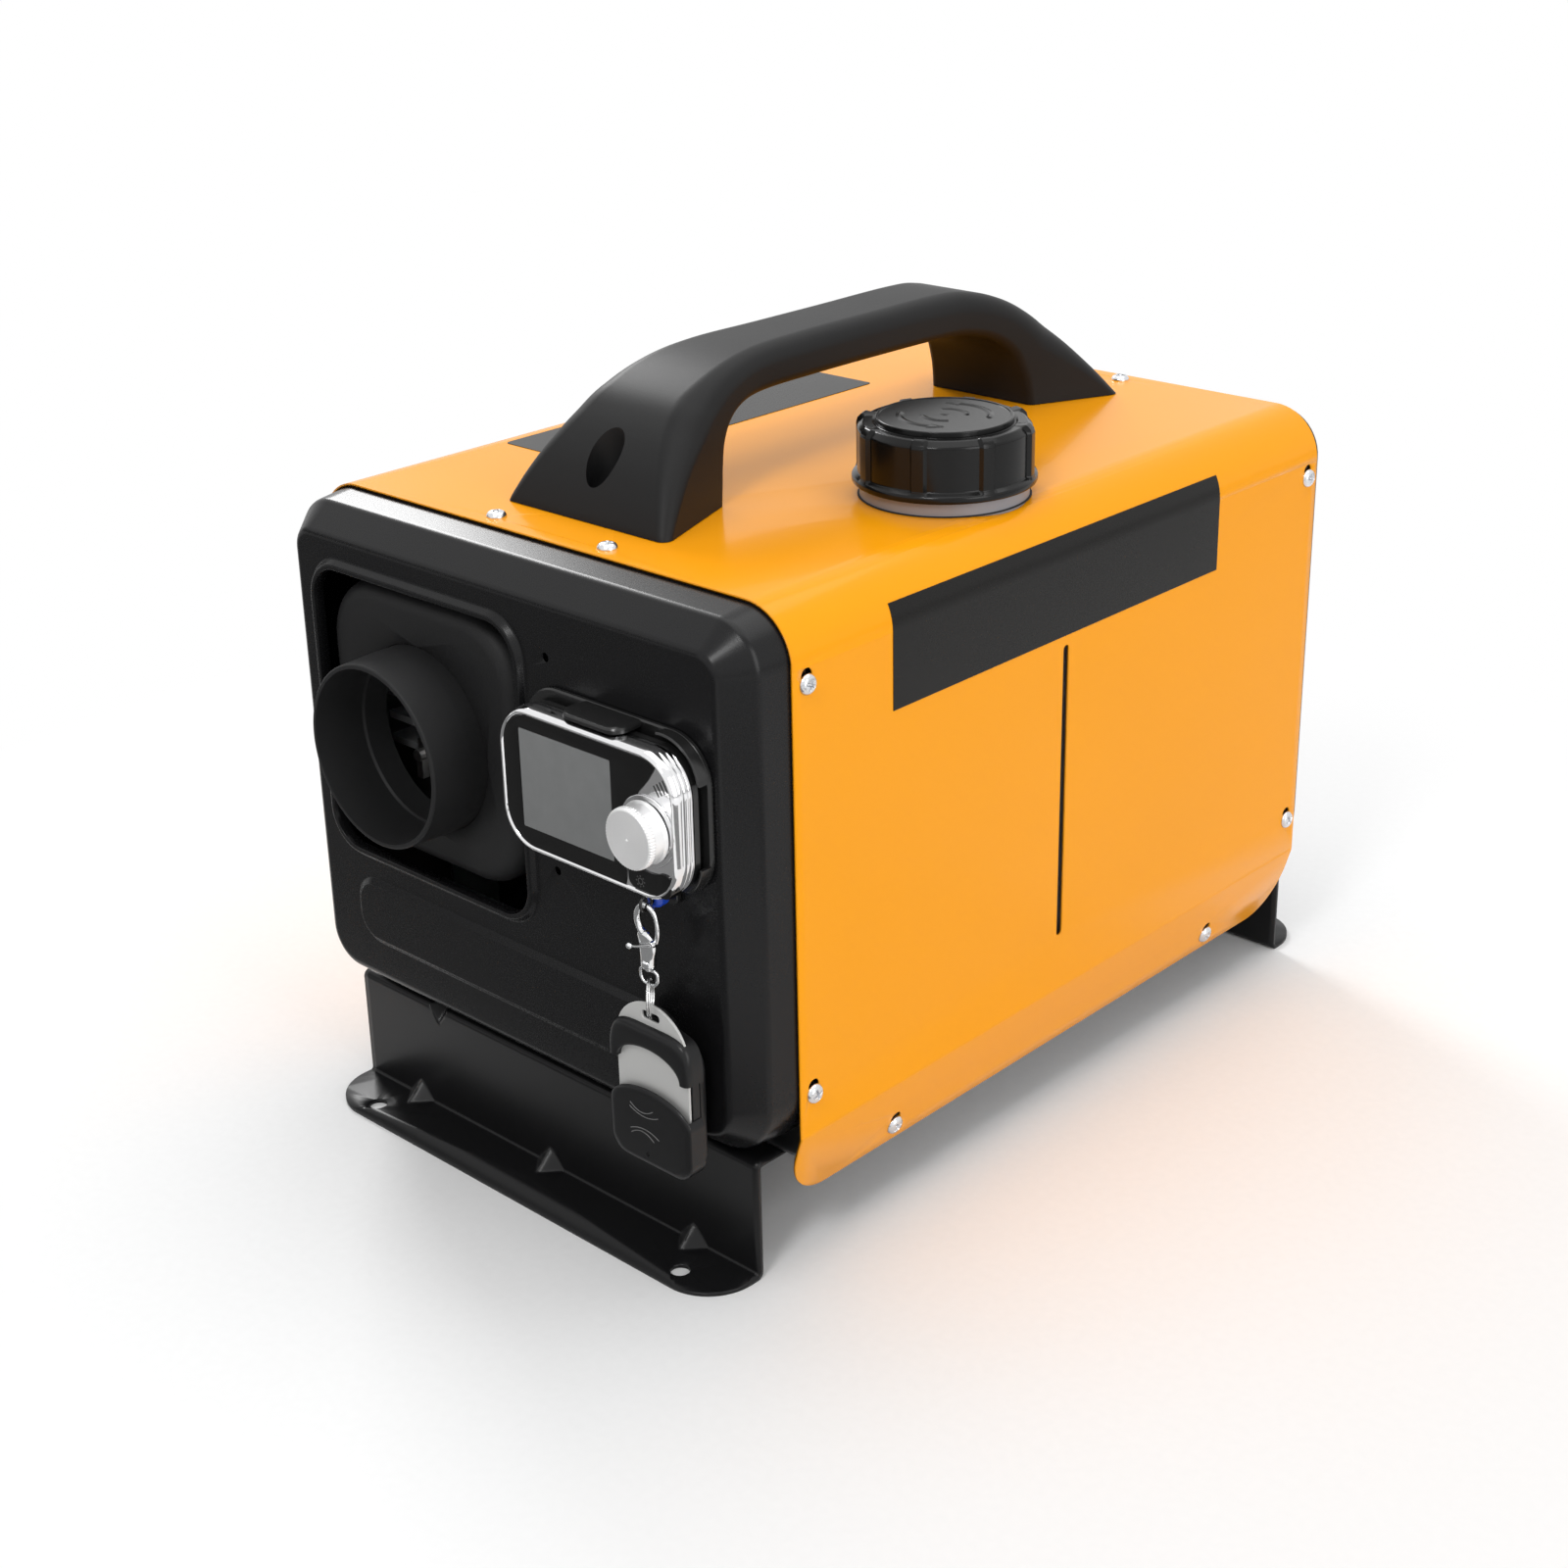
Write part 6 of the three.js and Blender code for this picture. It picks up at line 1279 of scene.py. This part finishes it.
def dress_inner_nodes():
    """Finishes for the CAD nodes that stay, most of them behind the covers."""
    kept = {
        "tank_grey": ["fuel_tank"],
        "seal_rubber": ["cap_gasket", "pump_clamp"],
        "heater_grain": ["heater_case_lower", "heater_case_upper", "air_intake_pipe",
                         "hot_air_fan"],
        "cast_alloy": ["heat_exchanger", "combustion_air_cup", "combustion_air_wheel"],
        "plain_steel": ["combustion_chamber", "glow_plug", "overheat_sensor", "exhaust_pipe",
                        "motor_shaft", "encoder_shaft", "blower_motor", "fuel_pump"],
        "zinc_sheet": ["heater_stand_front", "heater_stand_rear"],
        "hose_rubber": ["fuel_supply_line", "fuel_feed_line", "wiring_loom"],
        # The control board's green is darkened as painted shade where it shows through the window's
        # gap.
        "board_mask": ["control_board"],
    }
    for finish, nodes in kept.items():
        dress(nodes, finish)


# ---------------------------------------------------------------- stage
def laid(x0, x1, y0, y1, z=0.0):
    """The corners of a level rectangle, in metres."""
    return [(x0, y0, z), (x1, y0, z), (x1, y1, z), (x0, y1, z)]


def stage_sheet(name, corners, material):
    """A flat sheet of the stage through four corners."""
    sheet = bpy.data.objects.new(name, bpy.data.meshes.new(name))
    sheet.data.from_pydata(corners, [], [(0, 1, 2, 3)])
    sheet.data.materials.append(material)
    bpy.context.scene.collection.objects.link(sheet)
    return sheet


def build_floor():
    """The pale floor, which turns to plain white for the camera past the object's shadow."""
    finish = Finish("floor_paper", {"Roughness": 0.9, "Specular IOR Level": 0.1})
    grain = finish.noise(4, 2.0)
    finish.use({"Base Color": finish.blend(grain, (0.86, 0.86, 0.86, 1), (0.9, 0.9, 0.9, 1))})
    tree = finish.tree
    far = finish.node("ShaderNodeVectorMath", {"operation": "LENGTH"}, {0: finish.place}, "Value")
    start, width = 0.25, 0.34
    fade = (far - start) / width
    seen = finish.node("ShaderNodeLightPath", output="Is Camera Ray")
    factor = fade.math("MULTIPLY", fade, seen, clamp=True)
    white = tree.nodes.new("ShaderNodeEmission")
    mix = tree.nodes.new("ShaderNodeMixShader")
    connect(tree, mix.inputs[0], factor)
    tree.links.new(finish.shader.outputs[0], mix.inputs[1])
    tree.links.new(white.outputs[0], mix.inputs[2])
    out = next(n for n in tree.nodes if n.type == "OUTPUT_MATERIAL")
    tree.links.new(mix.outputs[0], out.inputs["Surface"])
    stage_sheet("floor", laid(-6, 6, -6, 6), finish.material)


def build_surroundings(level):
    """An even white world: its light has the given level, and what sees it directly sees 1."""
    world = bpy.data.worlds.new("surroundings")
    bpy.context.scene.world = world
    world.use_nodes = True
    tree = world.node_tree
    tree.nodes.clear()
    paths = tree.nodes.new("ShaderNodeLightPath")
    names = "Is Camera Ray", "Is Glossy Ray", "Is Transmission Ray"
    seen = [Value(tree, paths.outputs[name]) for name in names]
    open_sky = seen[0].math("ADD", seen[0] + seen[1], seen[2], clamp=True)
    back = tree.nodes.new("ShaderNodeBackground")
    back.inputs["Color"].default_value = (1, 1, 1, 1)
    connect(tree, back.inputs["Strength"], open_sky * (1.0 - level) + level)
    out = tree.nodes.new("ShaderNodeOutputWorld")
    tree.links.new(back.outputs[0], out.inputs["Surface"])


def build_lamps(factor):
    """Four soft lamps aimed at the object: name, place, size and power."""
    lamps = (
        ("overhead", (0.1, 0.2, 1.6), (1.5, 1.5), 10.0),
        ("back_left", (-1.35, 0.5, 1.15), (0.45, 0.5), 12.0),
        ("front", (0.5, -1.3, 1.5), (0.32, 0.45), 8.0),
        ("right_side", (1.8, -0.3, 0.8), (0.8, 1.4), 10.5),
    )
    aim = Vector((0, 0, 0.15))
    for name, place, size, power in lamps:
        data = bpy.data.lights.new(name, "AREA")
        data.shape, data.size, data.size_y, data.energy = "RECTANGLE", *size, power * factor
        lamp = bpy.data.objects.new(name, data)
        turn = (aim - Vector(place)).to_track_quat("-Z", "Y")
        lamp.matrix_world = Matrix.Translation(place) @ turn.to_matrix().to_4x4()
        bpy.context.scene.collection.objects.link(lamp)


def build_cards():
    """Three grey cards that only glossy rays see, for the black coat and the chrome to reflect."""
    left = [(-1.35, -0.3, 0.28), (-0.75, -1.25, 0.28), (-0.75, -1.25, 0.62), (-1.35, -0.3, 0.62)]
    dark = Finish("dark_card", {"Roughness": 1.0, "Specular IOR Level": 0.0})
    greys = (0.16, 0.16, 0.16, 1), (0.24, 0.24, 0.24, 1)
    dark.use({"Base Color": dark.blend(dark.noise(60), *greys)})
    over = 0.002
    cards = {
        "card_low": laid(-1.4, 0.25, -1.6, -0.24, over),
        "card_left": left,
        "card_right": laid(0.46, 0.6, -0.62, -0.1, over),
    }
    for name, corners in cards.items():
        card = stage_sheet(name, corners, dark.material)
        card.visible_camera = card.visible_diffuse = False
        card.visible_shadow = card.visible_transmission = False


def build_camera():
    """The photograph's camera: where it stands, and its azimuth, height and roll in degrees."""
    data = bpy.data.cameras.new("camera")
    data.sensor_width, data.lens = 36.0, 55.567
    data.shift_x, data.shift_y = 0.0053, -0.03256
    camera = bpy.data.objects.new("camera", data)
    azimuth, height, roll = (math.radians(v) for v in (43.64, 22.373, -1.325))
    back_way = Vector((math.sin(azimuth) * math.cos(height), -math.cos(azimuth) * math.cos(height),
                       math.sin(height)))
    right = Vector((0, 0, 1)).cross(back_way).normalized()
    up = back_way.cross(right)
    right, up = (right * math.cos(roll) + up * math.sin(roll),
                 up * math.cos(roll) - right * math.sin(roll))
    turn = Matrix((right, up, back_way)).transposed().to_4x4()
    camera.matrix_world = Matrix.Translation((0.659165, -0.563567 + FRONT_EDGE, 0.543205)) @ turn
    bpy.context.scene.collection.objects.link(camera)
    bpy.context.scene.camera = camera
    bpy.context.scene.view_settings.view_transform = "Standard"


# ---------------------------------------------------------------- add-on
def length_property(name, description, default):
    """A length in metres that Blender shows in the scene's units."""
    return bpy.props.FloatProperty(
        name=name, description=description, default=default, min=0, unit="LENGTH", precision=4)


def colour_property(name, description, default):
    """A colour of a finish."""
    return bpy.props.FloatVectorProperty(
        name=name, description=description, default=default, subtype="COLOR", size=3, min=0, max=1)


def level_property(name, description, default):
    """A factor on light."""
    return bpy.props.FloatProperty(
        name=name, description=description, default=default, min=0, max=10, subtype="FACTOR")


class HeaterSizes(bpy.types.PropertyGroup):
    """Sizes of the pressed and turned details."""

    sheet: length_property("Sheet", "Thickness of the shell and the covers", 0.0012)
    bracket: length_property("Bracket", "Thickness of the two feet", 0.00195)
    frame_rise: length_property("Frame rise", "Height of the frame round the cowl", 0.0025)
    panel_rise: length_property("Panel rise", "Height of the long panel", 0.0019)
    plate_high: length_property("Plate top", "Height of the side plate's upper edge", 0.2575)
    plate_low: length_property("Plate bottom", "Height of the side plate's lower edge", 0.217)
    knurls: bpy.props.IntProperty(
        name="Knurls", description="Notches round the knob", default=60, min=12, max=120)


class HeaterFinishes(bpy.types.PropertyGroup):
    """Colours of the main finishes."""

    shell: colour_property("Shell", "Powder coat of the wrap-round shell", (0.92, 0.35, 0.004))
    coat: colour_property("Covers", "Powder coat of the covers and feet", (0.006, 0.006, 0.0065))
    plastic: colour_property("Plastic", "Grained handle and duct plastic", (0.014, 0.014, 0.0145))


class HeaterStage(bpy.types.PropertyGroup):
    """Levels of the studio light."""

    surround: level_property("Surroundings", "Strength of the even light from all round", 0.5)
    lamps: level_property("Lamps", "Factor on the power of the four soft lamps", 1.0)


class HEATER_OT_shell(bpy.types.Operator):
    """Bend the orange sheet and the tray, and lay the bare plates on"""

    bl_idname = "heater.shell"
    bl_label = "Orange shell"

    def execute(self, context):
        build_shell()
        build_labels()
        build_tray()
        return {"FINISHED"}


class HEATER_OT_covers(bpy.types.Operator):
    """Press the front and rear covers"""

    bl_idname = "heater.covers"
    bl_label = "Covers"

    def execute(self, context):
        build_front_cover()
        build_rear_cover()
        return {"FINISHED"}


class HEATER_OT_feet(bpy.types.Operator):
    """Bend the two angle brackets"""

    bl_idname = "heater.feet"
    bl_label = "Feet"

    def execute(self, context):
        build_feet()
        return {"FINISHED"}


class HEATER_OT_handle(bpy.types.Operator):
    """Mould the carry handle"""

    bl_idname = "heater.handle"
    bl_label = "Carry handle"

    def execute(self, context):
        build_handle()
        return {"FINISHED"}


class HEATER_OT_filler(bpy.types.Operator):
    """Turn the filler cap and its collar"""

    bl_idname = "heater.filler"
    bl_label = "Filler"

    def execute(self, context):
        build_neck()
        build_cap()
        return {"FINISHED"}


class HEATER_OT_duct(bpy.types.Operator):
    """Turn the outlet and mould its cowl"""

    bl_idname = "heater.duct"
    bl_label = "Duct outlet"

    def execute(self, context):
        build_duct()
        return {"FINISHED"}


class HEATER_OT_screws(bpy.types.Operator):
    """Set the case screws"""

    bl_idname = "heater.screws"
    bl_label = "Case screws"

    def execute(self, context):
        build_screws()
        return {"FINISHED"}


class HEATER_OT_controller(bpy.types.Operator):
    """Build the controller and its holder"""

    bl_idname = "heater.controller"
    bl_label = "Controller"

    def execute(self, context):
        build_bezel()
        build_face()
        build_knob()
        build_holder()
        return {"FINISHED"}


class HEATER_OT_clasp(bpy.types.Operator):
    """Bend the clasp, swivel and ring"""

    bl_idname = "heater.clasp"
    bl_label = "Clasp"

    def execute(self, context):
        build_clasp()
        return {"FINISHED"}


class HEATER_OT_fob(bpy.types.Operator):
    """Build the remote fob"""

    bl_idname = "heater.fob"
    bl_label = "Remote fob"

    def execute(self, context):
        build_fob()
        return {"FINISHED"}


class HEATER_OT_inner(bpy.types.Operator):
    """Dress the parts behind the covers"""

    bl_idname = "heater.inner"
    bl_label = "Inner parts"

    def execute(self, context):
        dress_inner_nodes()
        return {"FINISHED"}


class HEATER_OT_stage(bpy.types.Operator):
    """Set the floor, surroundings, lamps, cards and camera"""

    bl_idname = "heater.stage"
    bl_label = "Stage"

    def execute(self, context):
        settings = context.scene.heater_stage
        build_floor()
        build_surroundings(settings.surround)
        build_lamps(settings.lamps)
        build_cards()
        build_camera()
        return {"FINISHED"}


OPERATORS = (
    HEATER_OT_shell, HEATER_OT_covers, HEATER_OT_feet, HEATER_OT_handle,
    HEATER_OT_filler, HEATER_OT_duct, HEATER_OT_screws, HEATER_OT_controller,
    HEATER_OT_clasp, HEATER_OT_fob, HEATER_OT_inner, HEATER_OT_stage,
)


class HEATER_PT_panel(bpy.types.Panel):
    """Lists the sizes, the finishes, the light and the pieces of the heater."""

    bl_idname = "HEATER_PT_panel"
    bl_label = "Diesel air heater"
    bl_space_type = "VIEW_3D"
    bl_region_type = "UI"
    bl_category = "Heater"

    def draw(self, context):
        """Shows each property of the three groups and a button for each operator."""
        scene = context.scene
        for group in (scene.heater_sizes, scene.heater_finishes, scene.heater_stage):
            for name in group.__annotations__:
                self.layout.prop(group, name)
        for kind in OPERATORS:
            self.layout.operator(kind.bl_idname)


CLASSES = (HeaterSizes, HeaterFinishes, HeaterStage, *OPERATORS, HEATER_PT_panel)


def register():
    """Registers the classes and puts the three groups on the scene."""
    for kind in CLASSES:
        bpy.utils.register_class(kind)
    bpy.types.Scene.heater_sizes = bpy.props.PointerProperty(type=HeaterSizes)
    bpy.types.Scene.heater_finishes = bpy.props.PointerProperty(type=HeaterFinishes)
    bpy.types.Scene.heater_stage = bpy.props.PointerProperty(type=HeaterStage)


def unregister():
    """Takes the groups and the classes away again."""
    scene = bpy.types.Scene
    del scene.heater_sizes, scene.heater_finishes, scene.heater_stage
    for kind in reversed(CLASSES):
        bpy.utils.unregister_class(kind)


def main():
    """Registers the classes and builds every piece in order."""
    register()
    bpy.ops.heater.shell()
    bpy.ops.heater.covers()
    bpy.ops.heater.feet()
    bpy.ops.heater.handle()
    bpy.ops.heater.filler()
    bpy.ops.heater.duct()
    bpy.ops.heater.screws()
    bpy.ops.heater.controller()
    bpy.ops.heater.clasp()
    bpy.ops.heater.fob()
    bpy.ops.heater.inner()
    bpy.ops.heater.stage()


if __name__ == "__main__":
    main()
